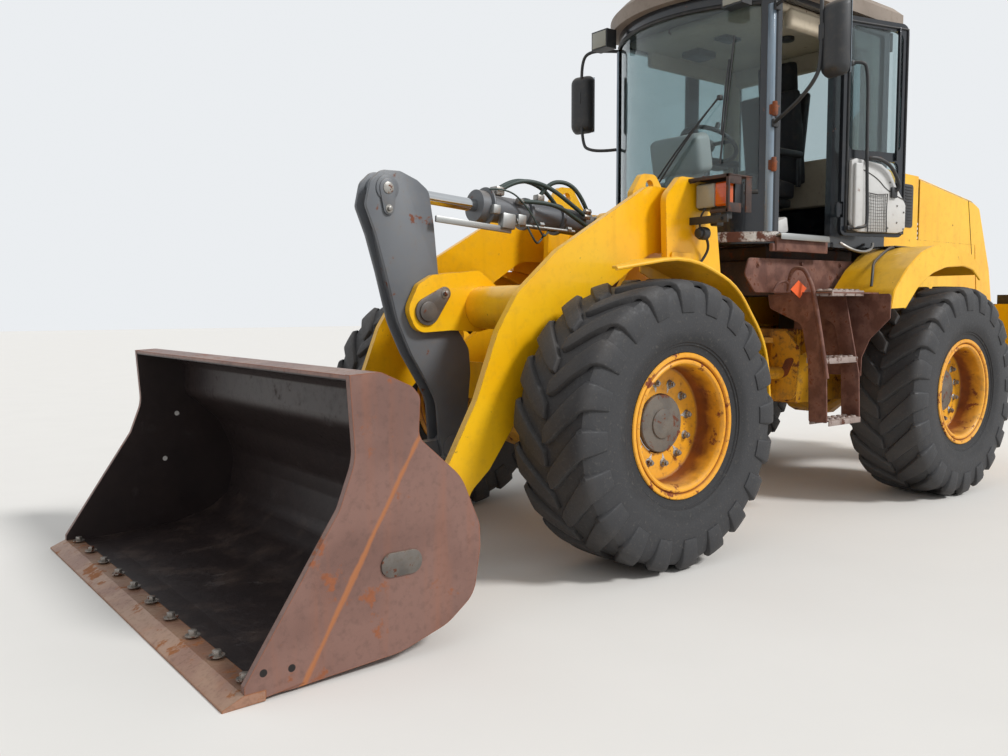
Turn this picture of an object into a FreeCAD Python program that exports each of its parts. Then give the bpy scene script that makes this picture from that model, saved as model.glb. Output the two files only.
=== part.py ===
import FreeCAD, Part
import math
import os
from FreeCAD import Vector

os.makedirs("parts", exist_ok=True)

# Millimetres. While it is drawn, the origin is on the ground under the
# articulation pin: +X forward, +Y to the driver's left, +Z up. Each saved
# piece is then moved so that the origin is under the middle of the length.

# Machine
wheelbase = 2870.0
frontReach = 2354.0
tailReach = 1816.0
jawReach = 110.0
axleX = wheelbase / 2
tipX = axleX + frontReach
tailX = -axleX - tailReach
shift = (tipX + tailX - jawReach) / 2
seating = 0.3
pinGap = 0.08

# Wheels
tyreR = 720.0
tyreHalf = 260.0
trackHalf = 925.0
lugCount = 20
lugDepth = 26.0
lugTurn = 8.5
lugSweep = 15.0
wheelSides = 30
rimR = 358.0
rimHalf = 220.0
beadDrop = 40.0
flangeWall = 21.0
rimWall = 28.0
discFace = 60.0
discThick = 22.0
hubR = 145.0
capR = 75.0
tubeR = 118.0
driveR = 190.0
axleEnd = trackHalf - rimHalf + 10

# Front frame, from the front wheels inwards
wingOut = 690.0
wingThick = 40.0
armGap = 60.0
armThick = 40.0
liftGap = 80.0
towerGap = 90.0
towerThick = 40.0
wingIn = wingOut - wingThick
armOut = wingIn - armGap
armIn = armOut - armThick
liftY = armIn - liftGap
towerOut = liftY - towerGap
towerIn = towerOut - towerThick
frontLow = 620.0
axleArch = 160.0
deckThick = 40.0
hitchR = 130.0
hitchPinR = 40.0
hitchGap = 5.0
hitchTop = 1140.0

# Boom linkage pins: place ahead of the front axle, then height
boomX, boomZ = axleX - 635.0, 1740.0
tiltX, tiltZ = axleX - 530.0, 1790.0
kneeX, kneeZ = axleX + 445.0, 1300.0
leverX, leverZ = axleX + 805.0, 1280.0
topX, topZ = axleX + 1005.0, 1900.0
footX, footZ = axleX + 615.0, 550.0
pinX, pinZ = axleX + 1115.0, 280.0
linkX, linkZ = axleX + 1165.0, 520.0
baseX, baseZ = axleX - 835.0, 720.0
liftX, liftZ = axleX + 285.0, 1130.0
boomPinR = 45.0
bucketPinR = 40.0
linkPinR = 35.0
tiltPinR = 35.0
liftPinR = 30.0
kneeR = 115.0
earIn = 68.0
earThick = 40.0
leverIn = 40.0
leverThick = 22.0
linkHalf = 34.0
linkHigh = 45.0

# Bucket
bucketHalf = 1270.0
bucketSide = 30.0
cheekStep = 8.0
bucketSheet = 20.0
edgeDepth = 149.0
edgeThick = 39.5
bucketEar = 34.0

# Steering cylinders
steerFrontX, steerFrontY = 330.0, 300.0
steerRearX, steerRearY = -520.0, 380.0
steerZ = 855.0
steerEye = 26.0
steerPinR = 22.0
bracketThick = 22.0

# Rear frame and tail
frameThick = 40.0
frameHalf = towerOut + frameThick
frameLow = 640.0
frameTop = 1150.0
bulkX = -600.0
rearArch = 220.0
tailPlate = 201.0
weightTop = 1322.0
weightLow = 760.0
weightHalf = 1050.0
weightDepth = 491.0
drawBore = 22.0
drawZ = 910.0
drawGap = 90.0
drawLip = 85.0

# Hood
hoodHalf = 520.0
hoodTop = 2285.0
hoodLow = 1810.0
hoodSkin = 8.0
hoodFront = -1965.0
hoodSeam = 24.0
hingeDrop = 15.0
hoodPinR = 5.0
cowlGap = 62.0
coverThick = 16.0
stackX, stackY = hoodFront + 405.0, 200.0
engineHalf = 330.0
engineTop = 1790.0

# Cab
cabHalf = 670.0
cabFloor = 1690.0
cabTop = 3340.0
roofThick = 140.0
roofLip = 60.0
roofSlope = 50.0
cabRear = -1200.0
postX = 70.0
screenMidX = -500.0
wall = 40.0
glassInset = 14.0
glassThick = 8.0
sill = 300.0
headRail = 60.0
doorPost = 40.0
doorWidth = 560.0
hingeOut = 32.0
hingePinR = 11.0
knuckleR = 18.0
doorOpen = 165.5
headRoom = 350.0
screenR = math.hypot(postX - screenMidX, cabHalf)
cabEave = cabTop - roofThick
glassLow = cabFloor + sill
glassHigh = cabEave - headRail
doorFront = postX - doorPost
doorRear = doorFront - doorWidth
doorLow = cabFloor + 70
doorHigh = cabEave - 30
hingeX = doorRear - 30
hingeY = cabHalf + hingeOut
hingeZ = (doorLow + 140, doorHigh - 220)

# Fenders, decks and ladders
fenderGap = 160.0
fenderOut = 1150.0
fenderSkin = 12.0
frontFenderOut = 1060.0
deckZ = 1380.0
deckThin = 9.0
baseHalf = cabHalf - 70
ladderOut = 1000.0
ladderWidth = 370.0
ladderLow = 600.0
stringer = 8.0
tread = 25.0
mudX = -axleX + tyreR + 203
ladderRear = mudX + 102
ladderFront = ladderRear + ladderWidth


def near(x, z, rows):
    return [(x + r[0], z + r[1]) + tuple(r[2:]) for r in rows]


def rounded(rows):
    pts = [Vector(r[0], r[1], 0) for r in rows]
    rad = [r[2] if len(r) > 2 else 0 for r in rows]
    n = len(pts)
    ends = []
    for i in range(n):
        p, a, b = pts[i], pts[i - 1], pts[(i + 1) % n]
        u = (a - p).normalize()
        v = (b - p).normalize()
        half = math.acos(max(-1, min(1, u.dot(v)))) / 2
        if rad[i] <= 0 or half > 1.56 or half < 0.02:
            ends.append((p, p, None))
            continue
        t = min(rad[i] / math.tan(half), 0.49 * (a - p).Length, 0.49 * (b - p).Length)
        r = t * math.tan(half)
        w = (u + v).normalize()
        ends.append((p + u * t, p + v * t, p + w * (r / math.sin(half) - r)))
    edges = []
    for i in range(n):
        start, stop, mid = ends[i]
        if mid is not None:
            edges.append(Part.Arc(start, mid, stop).toShape())
        nxt = ends[(i + 1) % n][0]
        if (nxt - stop).Length > 1e-4:
            edges.append(Part.LineSegment(stop, nxt).toShape())
    return Part.Wire(edges)


def plate(rows, plane, lo, hi):
    solid = Part.Face(rounded(rows)).extrude(Vector(0, 0, hi - lo))
    if plane == "xy":
        solid.translate(Vector(0, 0, lo))
        return solid
    solid.rotate(Vector(0, 0, 0), Vector(1, 0, 0), 90)
    if plane == "xz":
        solid.translate(Vector(0, hi, 0))
    else:
        solid.rotate(Vector(0, 0, 0), Vector(0, 0, 1), 90)
        solid.translate(Vector(lo, 0, 0))
    return solid


def offsetRows(rows, t):
    pts = [Vector(r[0], r[1], 0) for r in rows]
    normals = []
    for a, b in zip(pts, pts[1:]):
        d = (b - a).normalize()
        normals.append(Vector(-d.y, d.x, 0))
    out = []
    for i, p in enumerate(pts):
        a = normals[max(i - 1, 0)]
        b = normals[min(i, len(normals) - 1)]
        m = (a + b).normalize()
        q = p + m * (t / m.dot(a))
        r = rows[i][2] if len(rows[i]) > 2 else 0
        if r > 0:
            r = r - t if a.x * b.y > a.y * b.x else r + t
        out.append((q.x, q.y, max(r, 0)))
    return out


def strip(rows, t, plane, lo, hi):
    return plate(list(rows) + list(reversed(offsetRows(rows, t))), plane, lo, hi)


def box(x0, x1, y0, y1, z0, z1):
    return Part.makeBox(x1 - x0, y1 - y0, z1 - z0, Vector(x0, y0, z0))


def rod(p, q, r):
    a, b = Vector(*p), Vector(*q)
    return Part.makeCylinder(r, (b - a).Length, a, b - a)


def crossPin(x, z, r, y0, y1):
    return rod((x, y0, z), (x, y1, z), r)


def upright(x, y, r, z0, z1):
    return Part.makeCylinder(r, z1 - z0, Vector(x, y, z0))


def skin(points, faces):
    shell = []
    for f in faces:
        corners = [points[i] for i in f]
        shell.append(Part.Face(Part.makePolygon(corners + corners[:1])))
    solid = Part.makeSolid(Part.makeShell(shell))
    if solid.Volume < 0:
        solid.reverse()
    return solid


def around(r, s, turn):
    a = math.radians(turn)
    return Vector(r * math.sin(a), s, -r * math.cos(a))


def ring(rows, sides):
    points, at = [], []
    for r, s in rows:
        at.append(len(points))
        turns = [360 * (k + 0.5) / sides for k in range(sides)]
        points += [around(r, s, turn) for turn in turns] if r > 0 else [Vector(0, s, 0)]
    faces = []
    for i, (r, s) in enumerate(rows):
        j = (i + 1) % len(rows)
        if r == 0 and rows[j][0] == 0:
            continue
        for k in range(sides):
            m = (k + 1) % sides
            low = [at[i] + k, at[i] + m] if r > 0 else [at[i]]
            high = [at[j] + m, at[j] + k] if rows[j][0] > 0 else [at[j]]
            faces.append(low + high)
    return skin(points, faces)


def along(solid, x, z, angle):
    solid.rotate(Vector(0, 0, 0), Vector(0, 1, 0), -angle)
    solid.translate(Vector(x, 0, z))
    return solid


def mirror(shape):
    return shape.mirror(Vector(0, 0, 0), Vector(0, 1, 0))


def both(*shapes):
    out = []
    for s in shapes:
        out += [s, mirror(s)]
    return out


def join(shapes):
    return shapes[0].fuse(shapes[1:]).removeSplitter()


def bend(points, radius):
    pts = [Vector(*p) for p in points]
    edges = []
    start = pts[0]
    for a, p, b in zip(pts, pts[1:], pts[2:]):
        u = (a - p).normalize()
        v = (b - p).normalize()
        half = math.acos(max(-1, min(1, u.dot(v)))) / 2
        t = min(radius / math.tan(half), 0.48 * (a - p).Length, 0.48 * (b - p).Length)
        r = t * math.tan(half)
        w = (u + v).normalize()
        if (p + u * t - start).Length > 1e-3:
            edges.append(Part.LineSegment(start, p + u * t).toShape())
        edges.append(Part.Arc(p + u * t, p + w * (r / math.sin(half) - r), p + v * t).toShape())
        start = p + v * t
    edges.append(Part.LineSegment(start, pts[-1]).toShape())
    return Part.Wire(edges), (pts[1] - pts[0]).normalize(), pts[0]


def pipe(points, r, radius):
    path, d, start = bend(points, radius)
    return path.makePipeShell([Part.Wire(Part.makeCircle(r, start, d))], True, False)


def rail(points, r, sides=6):
    pts = [Vector(*p) for p in points]
    runs = [(b - a).normalize() for a, b in zip(pts, pts[1:])]
    side = runs[0].cross(Vector(0.2, 0.3, 1)).normalize()
    up = runs[0].cross(side)
    loop = [side * (r * math.cos(2 * math.pi * k / sides)) + up * (r * math.sin(2 * math.pi * k / sides))
            for k in range(sides)]
    corners = [pts[0] + v for v in loop]
    for i in range(1, len(pts)):
        run = runs[i - 1]
        cut = (run + runs[i]).normalize() if i < len(runs) else run
        base = corners[-sides:]
        corners += [c + run * ((pts[i] - c).dot(cut) / run.dot(cut)) for c in base]
    n = len(pts)
    faces = [list(range(sides)), list(range((n - 1) * sides, n * sides))]
    for i in range(n - 1):
        for k in range(sides):
            m = (k + 1) % sides
            faces.append([i * sides + k, i * sides + m, (i + 1) * sides + m, (i + 1) * sides + k])
    return skin(corners, faces)


def save(node, shapes):
    parts = []
    for s in shapes if isinstance(shapes, list) else [shapes]:
        parts += s.Solids
    shape = parts[0] if len(parts) == 1 else Part.makeCompound(parts)
    shape = shape.copy()
    shape.translate(Vector(-shift, 0, 0))
    shape.exportStep("parts/" + node + ".step")
    volume = sum(s.Volume for s in parts) / 1e9
    print(node, len(parts), round(volume, 4), all(s.isValid() for s in parts))


# The tyre is one faceted skin. Going around, every pitch has a lug and a
# groove. Going across, each half has a high and a low row of corners at the
# centre, the shoulder and the sidewall, and the halves are half a pitch apart.
def makeTyre():
    pitch = 360 / lugCount
    floorR, shoulder = tyreR - lugDepth, tyreHalf - 38
    bead = rimHalf - flangeWall - seating
    snug = (rimR - beadDrop + seating) / math.cos(math.radians(pitch / 4))
    tread = [("topCentre", tyreR, 6, 0), ("lowCentre", floorR, 6, 0),
             ("topShoulder", tyreR - 8, shoulder, lugSweep),
             ("lowShoulder", floorR - 10, shoulder - 6, lugSweep),
             ("topWall", tyreR - 110, tyreHalf, lugSweep),
             ("lowWall", tyreR - 116, tyreHalf - 12, lugSweep)]
    wall = [(rimR + 100, tyreHalf - 8), (rimR + 10, rimHalf), (rimR + 10, bead), (snug, bead)]
    n = 2 * lugCount
    points, faces, at = [], [], {}
    for side in (1, -1):
        base = 0 if side > 0 else pitch / 2
        for name, r, s, sweep in tread:
            at[side, name] = len(points)
            points += [around(r, side * s, base + sweep + k // 2 * pitch + k % 2 * lugTurn) for k in range(n)]
        for row, (r, s) in enumerate(wall):
            at[side, row] = len(points)
            points += [around(r, side * s, base + lugSweep + k * pitch / 2) for k in range(n)]

    def cell(low, high, k):
        m = (k + 1) % n
        return [[low + k, low + m, high + m], [low + k, high + m, high + k]]

    for side in (1, -1):
        for k in range(n):
            level = "low" if k % 2 else "top"
            rows = [at[side, level + place] for place in ("Centre", "Shoulder", "Wall")]
            faces += cell(rows[0], rows[1], k) + cell(rows[1], rows[2], k)
            if k % 2 == 0:
                faces += cell(at[side, "lowCentre"], rows[0], k) + cell(rows[2], at[side, "lowWall"], k)
            for a, b in (("Centre", "Shoulder"), ("Shoulder", "Wall")):
                corners = [at[side, "top" + a] + k, at[side, "top" + b] + k, at[side, "low" + b] + k,
                           at[side, "low" + a] + k]
                faces += [corners[:3], [corners[0], corners[2], corners[3]]]
            faces += cell(at[side, "lowWall"], at[side, 0], k)
            for row in range(len(wall) - 1):
                low, high, m = at[side, row], at[side, row + 1], (k + 1) % n
                faces.append([low + k, low + m, high + m, high + k])
    left, right = at[1, "lowCentre"], at[-1, "lowCentre"]
    boreL, boreR = at[1, len(wall) - 1], at[-1, len(wall) - 1]
    for k in range(n):
        m = (k + 1) % n
        faces += [[left + k, left + m, right + (k - 1) % n], [left + m, right + k, right + (k - 1) % n]]
        faces.append([boreL + m, boreL + (m + 1) % n, boreR + m, boreR + k])
    return skin(points, faces)


def makeRim():
    seat = rimR - beadDrop
    barrel = seat - rimWall
    disc = discFace - discThick
    back = axleEnd + seating - trackHalf
    rows = [(rimR, rimHalf), (rimR, rimHalf - flangeWall), (seat, rimHalf - flangeWall),
            (seat, flangeWall - rimHalf), (rimR, flangeWall - rimHalf), (rimR, -rimHalf),
            (barrel, -rimHalf), (barrel, disc), (driveR, disc), (driveR, back), (0, back), (0, discFace + 20),
            (hubR, discFace + 20),
            (hubR, discFace), (barrel, discFace), (barrel, rimHalf - 60), (seat + 6, rimHalf - 22)]
    cap = rod((0, discFace + 10, 0), (0, discFace + 32, 0), capR)
    return ring(rows, wheelSides).fuse(cap)


def makeWheels():
    tyre, rim = makeTyre(), makeRim()
    for end, ex in (("front", 1), ("rear", -1)):
        for side, ey in (("left", 1), ("right", -1)):
            for name, shape in (("tyre_", tyre), ("rim_", rim)):
                piece = shape.copy() if ey > 0 else mirror(shape)
                piece.translate(Vector(ex * axleX, ey * trackHalf, tyreR))
                save(name + end + "_" + side, piece)


def makeAxles():
    ball = [(tubeR - 10, -300), (235, -140), (235, 140), (tubeR - 10, 300), (0, 300), (0, -300)]
    for name, ex, arch in (("front_axle", 1, axleArch), ("rear_axle", -1, rearArch)):
        at = Vector(ex * axleX, 0, tyreR)
        middle = ring(ball, 16)
        middle.translate(at)
        tube = crossPin(at.x, tyreR, tubeR, 22 - axleEnd, axleEnd - 22)
        drives = both(crossPin(at.x, tyreR, driveR, axleEnd - 25, axleEnd))
        nose = rod((at.x - ex * 420, 0, tyreR), (at.x - ex * 150, 0, tyreR), 105)
        pads = both(box(at.x - 120, at.x + 120, towerIn, towerOut + 20, tyreR, tyreR + arch - seating))
        save(name, join([tube, middle, nose] + drives + pads))


def frontSides():
    arch = tyreR + axleArch
    hitch = boomX - 380
    rows = [(hitch, frontLow, 30), (axleX - 235, frontLow, 40), (axleX - 175, arch, 40),
            (axleX + 185, arch, 40),
            (axleX + 225, arch - 120), (axleX + 345, arch - 120, 30), (axleX + 365, 1000, 40),
            (axleX + 45, 1240, 100), (axleX - 255, 1300, 100)]
    rows += near(boomX, boomZ, [(240, -240, 120), (210, 220, 30), (130, 330, 50), (20, 330, 50),
                                (-110, 160, 60), (-160, -340, 150)])
    rows.append((hitch, hitchTop + 10, 40))
    eye = crossPin(boomX + 70, boomZ + 265, 32, towerIn - 5, towerOut + 5)
    return both(plate(rows, "xz", towerIn, towerOut).cut(eye))


def frontHitch():
    throat = boomX - 360
    plan = [(0, hitchR), (throat - 140, 240), (throat, towerIn + 20), (boomX - 40, towerIn + 20)]
    plan += [(x, -y) for x, y in reversed(plan)]
    out = []
    for z in (hitchTop - deckThick, frontLow):
        out += [plate(plan, "xy", z, z + deckThick), upright(0, 0, hitchR, z, z + deckThick)]
    low, high = frontLow + deckThick, hitchTop - deckThick
    web = box(hitchR + 20, throat + 20, -100, 100, low, high)
    bulk = box(throat, throat + 40, -towerIn, towerIn, low, high)
    pins = [upright(0, 0, hitchPinR, high - 50, high + 5), upright(0, 0, hitchPinR, low - 5, low + 50)]
    return out + [web, bulk] + pins


def frontMembers():
    nose = box(axleX + 305, axleX + 345, -towerIn, towerIn, 780, 990)
    belly = box(boomX - 40, axleX - 440, -towerIn, towerIn, frontLow, frontLow + 30)
    beam = plate(near(boomX, boomZ, [(-100, -240), (60, -240), (80, -100), (-80, -80)]), "xz", -towerIn,
                 towerIn)
    ear = near(tiltX, tiltZ, [(-80, 80, 60), (85, 80, 60), (85, -60, 50), (-45, -230), (-185, -230),
                              (-110, -40)])
    ears = both(plate(ear, "xz", 55, 95))
    return [nose, belly, beam] + ears + [crossPin(tiltX, tiltZ, tiltPinR, -105, 105)]


def outerTowers():
    wing = near(boomX, boomZ, [(-240, -560), (-80, -560), (-10, -240, 60), (260, -195), (275, 160, 80),
                               (160, 275, 50), (-70, 275, 70), (-160, 10, 80)])
    foot = near(boomX, boomZ, [(-230, -550), (-100, -550), (-85, -370), (-200, -370)])
    return both(plate(wing, "xz", wingIn, wingOut), plate(foot, "xz", towerOut, wingIn),
                crossPin(boomX, boomZ, boomPinR, towerIn - 20, wingOut + 15))


def liftMounts():
    lug = near(baseX, baseZ, [(-80, -80), (80, -80), (80, 40, 50), (0, 90, 50), (-80, 40, 50)])
    shelf = box(baseX - 70, baseX + 70, towerOut, armIn - 5, baseZ - 120, baseZ - 75)
    return both(plate(lug, "xz", armIn - 10, armIn + 20), shelf,
                crossPin(baseX, baseZ, liftPinR, towerOut - 20, armIn + 30))


def steerForks(x, y, root, through):
    cheek = steerEye + 4
    out = []
    for z in (steerZ - cheek - bracketThick, steerZ + cheek):
        out += [plate(root + [(x + 34, y), (x - 34, y)], "xy", z, z + bracketThick),
                upright(x, y, 38, z, z + bracketThick)]
    head = cheek + bracketThick + 6
    spans = [(-head, head)] if through else [(-head, 1 - cheek), (cheek - 1, head)]
    out += [upright(x, y, steerPinR, steerZ + a, steerZ + b) for a, b in spans]
    return both(*out)


def makeFrontFrame():
    x = steerFrontX
    forks = steerForks(x, steerFrontY, [(x - 50, 60), (x + 60, 60)], False)
    parts = frontSides() + frontHitch() + frontMembers() + outerTowers() + liftMounts()
    save("front_frame", join(parts + forks))


def makeFrontFenders():
    crown = tyreR + 815
    rows = [(axleX + 330, crown - 35), (axleX + 265, crown - 5, 90), (axleX - 119, crown, 60),
            (axleX - 585, crown - 185, 140), (axleX - 795, crown - 685, 120), (axleX - 845, crown - 815)]
    band = strip(rows, fenderSkin, "xz", wingIn - 28, frontFenderOut)
    lip = strip(offsetRows(rows, -30), 30, "xz", frontFenderOut - fenderSkin, frontFenderOut)
    stay = plate([(boomX + 100, crown + 25), (boomX + 260, crown + 25), (boomX + 260, crown - 35),
                  (boomX + 100, crown - 195)], "xz", wingOut + seating, wingOut + fenderSkin)
    save("front_fenders", both(join([band, lip, stay])))


def makeHeadlights():
    x0, z0 = boomX - 100, boomZ + 110
    shell = box(x0, x0 + 180, wingOut + 45, wingOut + 215, z0, z0 + 140)
    face = box(x0 + 180, x0 + 192, wingOut + 55, wingOut + 205, z0 + 10, z0 + 130)
    stem = box(x0 + 60, x0 + 120, wingOut + seating, wingOut + 46, z0 + 20, z0 + 110)
    save("headlights", both(join([shell, face, stem])))


def makeBoom():
    rows = near(boomX, boomZ, [(-90, 220, 80), (304, 222, 120)])
    rows += near(axleX, 0, [(51, 1746, 150), (327, 1589, 150), (585, 1374, 150), (708, 1190, 150),
                            (839, 859, 150), (1006, 565, 120)])
    rows += near(pinX, pinZ, [(105, 110, 100), (100, -100, 100), (-110, -100, 100)])
    rows += near(axleX, 0, [(868, 430, 120), (767, 515, 120), (613, 722, 150), (321, 972, 90),
                            (288, 1109, 80),
                            (114, 1183, 100), (-28, 1394, 200)])
    rows += near(boomX, boomZ, [(280, -140, 200), (-80, -140, 100), (-140, 0, 80)])
    ear = near(leverX, leverZ, [(-40, 190, 60), (50, 140, 60), (115, 10, 80), (60, -110, 80), (-160, -100)])
    ear += near(kneeX, kneeZ, [(20, -130), (-110, -100, 40), (-120, 100, 40), (20, 200, 60)])
    parts = both(plate(rows, "xz", armIn, armOut), crossPin(boomX, boomZ, 100, towerOut + 6, wingIn - 6),
                 crossPin(pinX, pinZ, 95, armIn - 8, armOut + 8),
                 crossPin(liftX, liftZ, 62, armOut - 5, armOut + 10),
                 plate(ear, "xz", earIn, earIn + earThick))
    knee = crossPin(kneeX, kneeZ, kneeR, -armIn - 5, armIn + 5)
    pivot = crossPin(leverX, leverZ, boomPinR, -earIn - 56, earIn + 56)
    bores = both(crossPin(boomX, boomZ, boomPinR + pinGap, towerIn, wingOut),
                 crossPin(pinX, pinZ, bucketPinR + pinGap, armIn - 50, armOut + 50))
    save("boom", join(parts + [knee, pivot]).cut(bores))


def makeLever():
    side = near(topX, topZ, [(-24, 97, 60), (91, 67, 60), (95, -100, 90), (77, -267, 120)])
    side += near(leverX, leverZ, [(223, -97, 200), (15, -466, 200)])
    side += near(footX, footZ, [(90, 40, 80), (60, -75, 70), (-40, -85, 70), (-85, -10, 60),
                                (-65, 130, 90)])
    side += near(leverX, leverZ, [(-160, -280, 150), (-130, 20, 120), (-80, 280, 120)])
    side += near(topX, topZ, [(-251, -19, 60)])
    core = near(leverX, leverZ, [(223, -97, 150), (15, -466, 150), (-15, -450), (-50, -100, 60),
                                 (-70, 120, 60),
                                 (90, 280, 40)])
    core += near(topX, topZ, [(15, -200), (60, -200), (65, -267, 60)])
    parts = both(plate(side, "xz", leverIn, leverIn + leverThick),
                 crossPin(topX, topZ, 65, leverIn + leverThick - 1, leverIn + leverThick + 8),
                 crossPin(footX, footZ, 62, leverIn + leverThick - 1, leverIn + leverThick + 8))
    parts.append(plate(core, "xz", -leverIn - 1, leverIn + 1))
    save("lever", join(parts).cut(crossPin(leverX, leverZ, boomPinR + pinGap, -earIn, earIn)))


def makeLink():
    length = math.hypot(linkX - footX, linkZ - footZ)
    angle = math.degrees(math.atan2(linkZ - footZ, linkX - footX))
    bar = plate([(-10, -linkHigh), (length, -linkHigh), (length, linkHigh), (-10, linkHigh)], "xz",
                -linkHalf, linkHalf)
    eyes = [crossPin(0, 0, 72, -linkHalf, linkHalf), crossPin(length, 0, 68, -linkHalf, linkHalf)]
    bore = crossPin(length, 0, linkPinR + pinGap, -linkHalf, linkHalf)
    save("link", along(join([bar] + eyes).cut(bore), footX, footZ, angle))


# The bucket's back is one rolled sheet. Columns: behind the cutting edge,
# height, roll radius.
def makeBucket():
    floor = edgeDepth
    back = [(-floor, 14), (-floor - 111, 14), (-674, 38, 300), (-882, 100, 200), (-1006, 190, 120),
            (-1037, 370, 90), (-1034, 463, 90), (-950, 656, 200), (-761, 822, 60), (-763, 974, 40),
            (-730, 1013, 60), (-597, 1072, 40), (-478, 1064)]
    mouth = [(-476, 1066), (-495, 769, 200), (-431, 602, 120), (-297, 400), (-76, 66),
             (-76, edgeThick + seating),
             (-floor, edgeThick + seating)]
    cheek = [(-478, 1064), (-597, 1072, 40), (-730, 1013, 60), (-763, 974, 40), (-754, 819), (-292, 30),
             (-floor, 14)]
    inner = bucketHalf - bucketSide
    wrap = strip(near(tipX, 0, list(reversed(back))), bucketSheet, "xz", -inner, inner)
    sides = both(plate(near(tipX, 0, back[:-1] + mouth), "xz", inner, bucketHalf - cheekStep),
                 plate(near(tipX, 0, mouth[:-1] + [mouth[-1]] + list(reversed(cheek))[:-1]), "xz",
                       inner + 5, bucketHalf))
    shellSide = near(tipX, 0, [(-989, 160), (-997, 200), (-1024, 370), (-1021, 463), (-939, 655),
                               (-974, 640)])
    ear = near(pinX, pinZ, [(-85, 60, 60), (-85, -50, 60), (10, -100, 60), (150, -105, 40)])
    ear += shellSide + near(pinX, pinZ, [(150, 220, 80), (10, 92, 60)])
    hang = near(linkX, linkZ, [(-67, 40, 50), (-50, -70, 50), (100, -100)]) + shellSide[2:5]
    hang += near(tipX, 0, [(-969, 650)]) + near(linkX, linkZ, [(40, 80, 60)])
    gap = 16.0
    ears = both(plate(ear, "xz", armIn - gap - bucketEar, armIn - gap),
                plate(ear, "xz", armOut + gap, armOut + gap + bucketEar),
                crossPin(pinX, pinZ, bucketPinR, armIn - gap - bucketEar - 8, armOut + gap + bucketEar + 8),
                plate(hang, "xz", linkHalf + 8, linkHalf + 44))
    bolt = crossPin(linkX, linkZ, linkPinR, -linkHalf - 56, linkHalf + 56)
    pads = both(plate(near(tipX, 0, [(-760, 330, 40), (-600, 330, 40), (-600, 410, 40), (-760, 410, 40)]),
                      "xz",
                      bucketHalf - cheekStep - 1, bucketHalf - 1))
    save("bucket", join([wrap, bolt] + sides + ears + pads))
    edge = near(tipX, 0, [(seating - floor, 4), (0, 0), (0, 8), (-75, edgeThick),
                          (seating - floor, edgeThick)])
    save("cutting_edge", plate(edge, "xz", -bucketHalf, bucketHalf))


def cylinderParts(spec):
    length, y, w = spec["length"], spec["y"], spec["eyeHalf"]
    gland, eyeR, rodR = spec["gland"], spec["eyeR"], spec["rodR"]

    def span(a, b, radius):
        return rod((a, y, 0), (b, y, 0), radius)

    barrel = join([span(spec["start"], gland, spec["barrelR"]),
                   span(gland, gland + spec["head"], spec["headR"]),
                   crossPin(0, 0, eyeR, y - w, y + w),
                   box(0, spec["start"] + 10, y - w * 0.7, y + w * 0.7, -eyeR * 0.7, eyeR * 0.7)])
    bores = [crossPin(0, 0, spec["pinR"] + pinGap, y - w, y + w),
             span(spec["start"] + 22, gland + spec["head"] + 10, rodR + pinGap)]
    stem = join([span(spec["stem"], length - eyeR * 0.5, rodR), crossPin(length, 0, eyeR, y - w, y + w)])
    return barrel.cut(bores), stem


def makeCylinders():
    length = math.hypot(topX - tiltX, topZ - tiltZ)
    angle = math.degrees(math.atan2(topZ - tiltZ, topX - tiltX))
    tilt = dict(length=length, y=0, eyeHalf=36, barrelR=75, rodR=35, start=115, gland=length - 650, head=62,
                headR=88, eyeR=70, pinR=tiltPinR, stem=560)
    barrel, stem = cylinderParts(tilt)
    save("tilt_barrel", along(barrel, tiltX, tiltZ, angle))
    save("tilt_rod", along(stem, tiltX, tiltZ, angle))

    length = math.hypot(liftX - baseX, liftZ - baseZ)
    angle = math.degrees(math.atan2(liftZ - baseZ, liftX - baseX))
    lift = dict(length=length, y=liftY, eyeHalf=32, barrelR=65, rodR=35, start=62, gland=length - 118,
                head=45,
                headR=72, eyeR=58, pinR=liftPinR, stem=100)
    barrel, stem = cylinderParts(lift)
    stub = crossPin(length, 0, liftPinR, liftY, armIn - 6)
    save("lift_barrels", both(along(barrel, baseX, baseZ, angle)))
    save("lift_rods", both(along(join([stem, stub]), baseX, baseZ, angle)))

    dx, dy = steerFrontX - steerRearX, steerFrontY - steerRearY
    length, angle = math.hypot(dx, dy), math.degrees(math.atan2(dy, dx))
    steer = dict(length=length, y=0, eyeHalf=steerEye, barrelR=42, rodR=22, start=45, gland=length - 350,
                 head=28,
                 headR=48, eyeR=40, pinR=steerPinR, stem=300)
    for side in ("left", "right"):
        for node, shape in zip(("steer_barrel_", "steer_rod_"), cylinderParts(steer)):
            shape.rotate(Vector(0, 0, 0), Vector(1, 0, 0), 90)
            shape.rotate(Vector(0, 0, 0), Vector(0, 0, 1), angle)
            shape.translate(Vector(steerRearX, steerRearY, steerZ))
            save(node + side, shape if side == "left" else mirror(shape))


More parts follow.
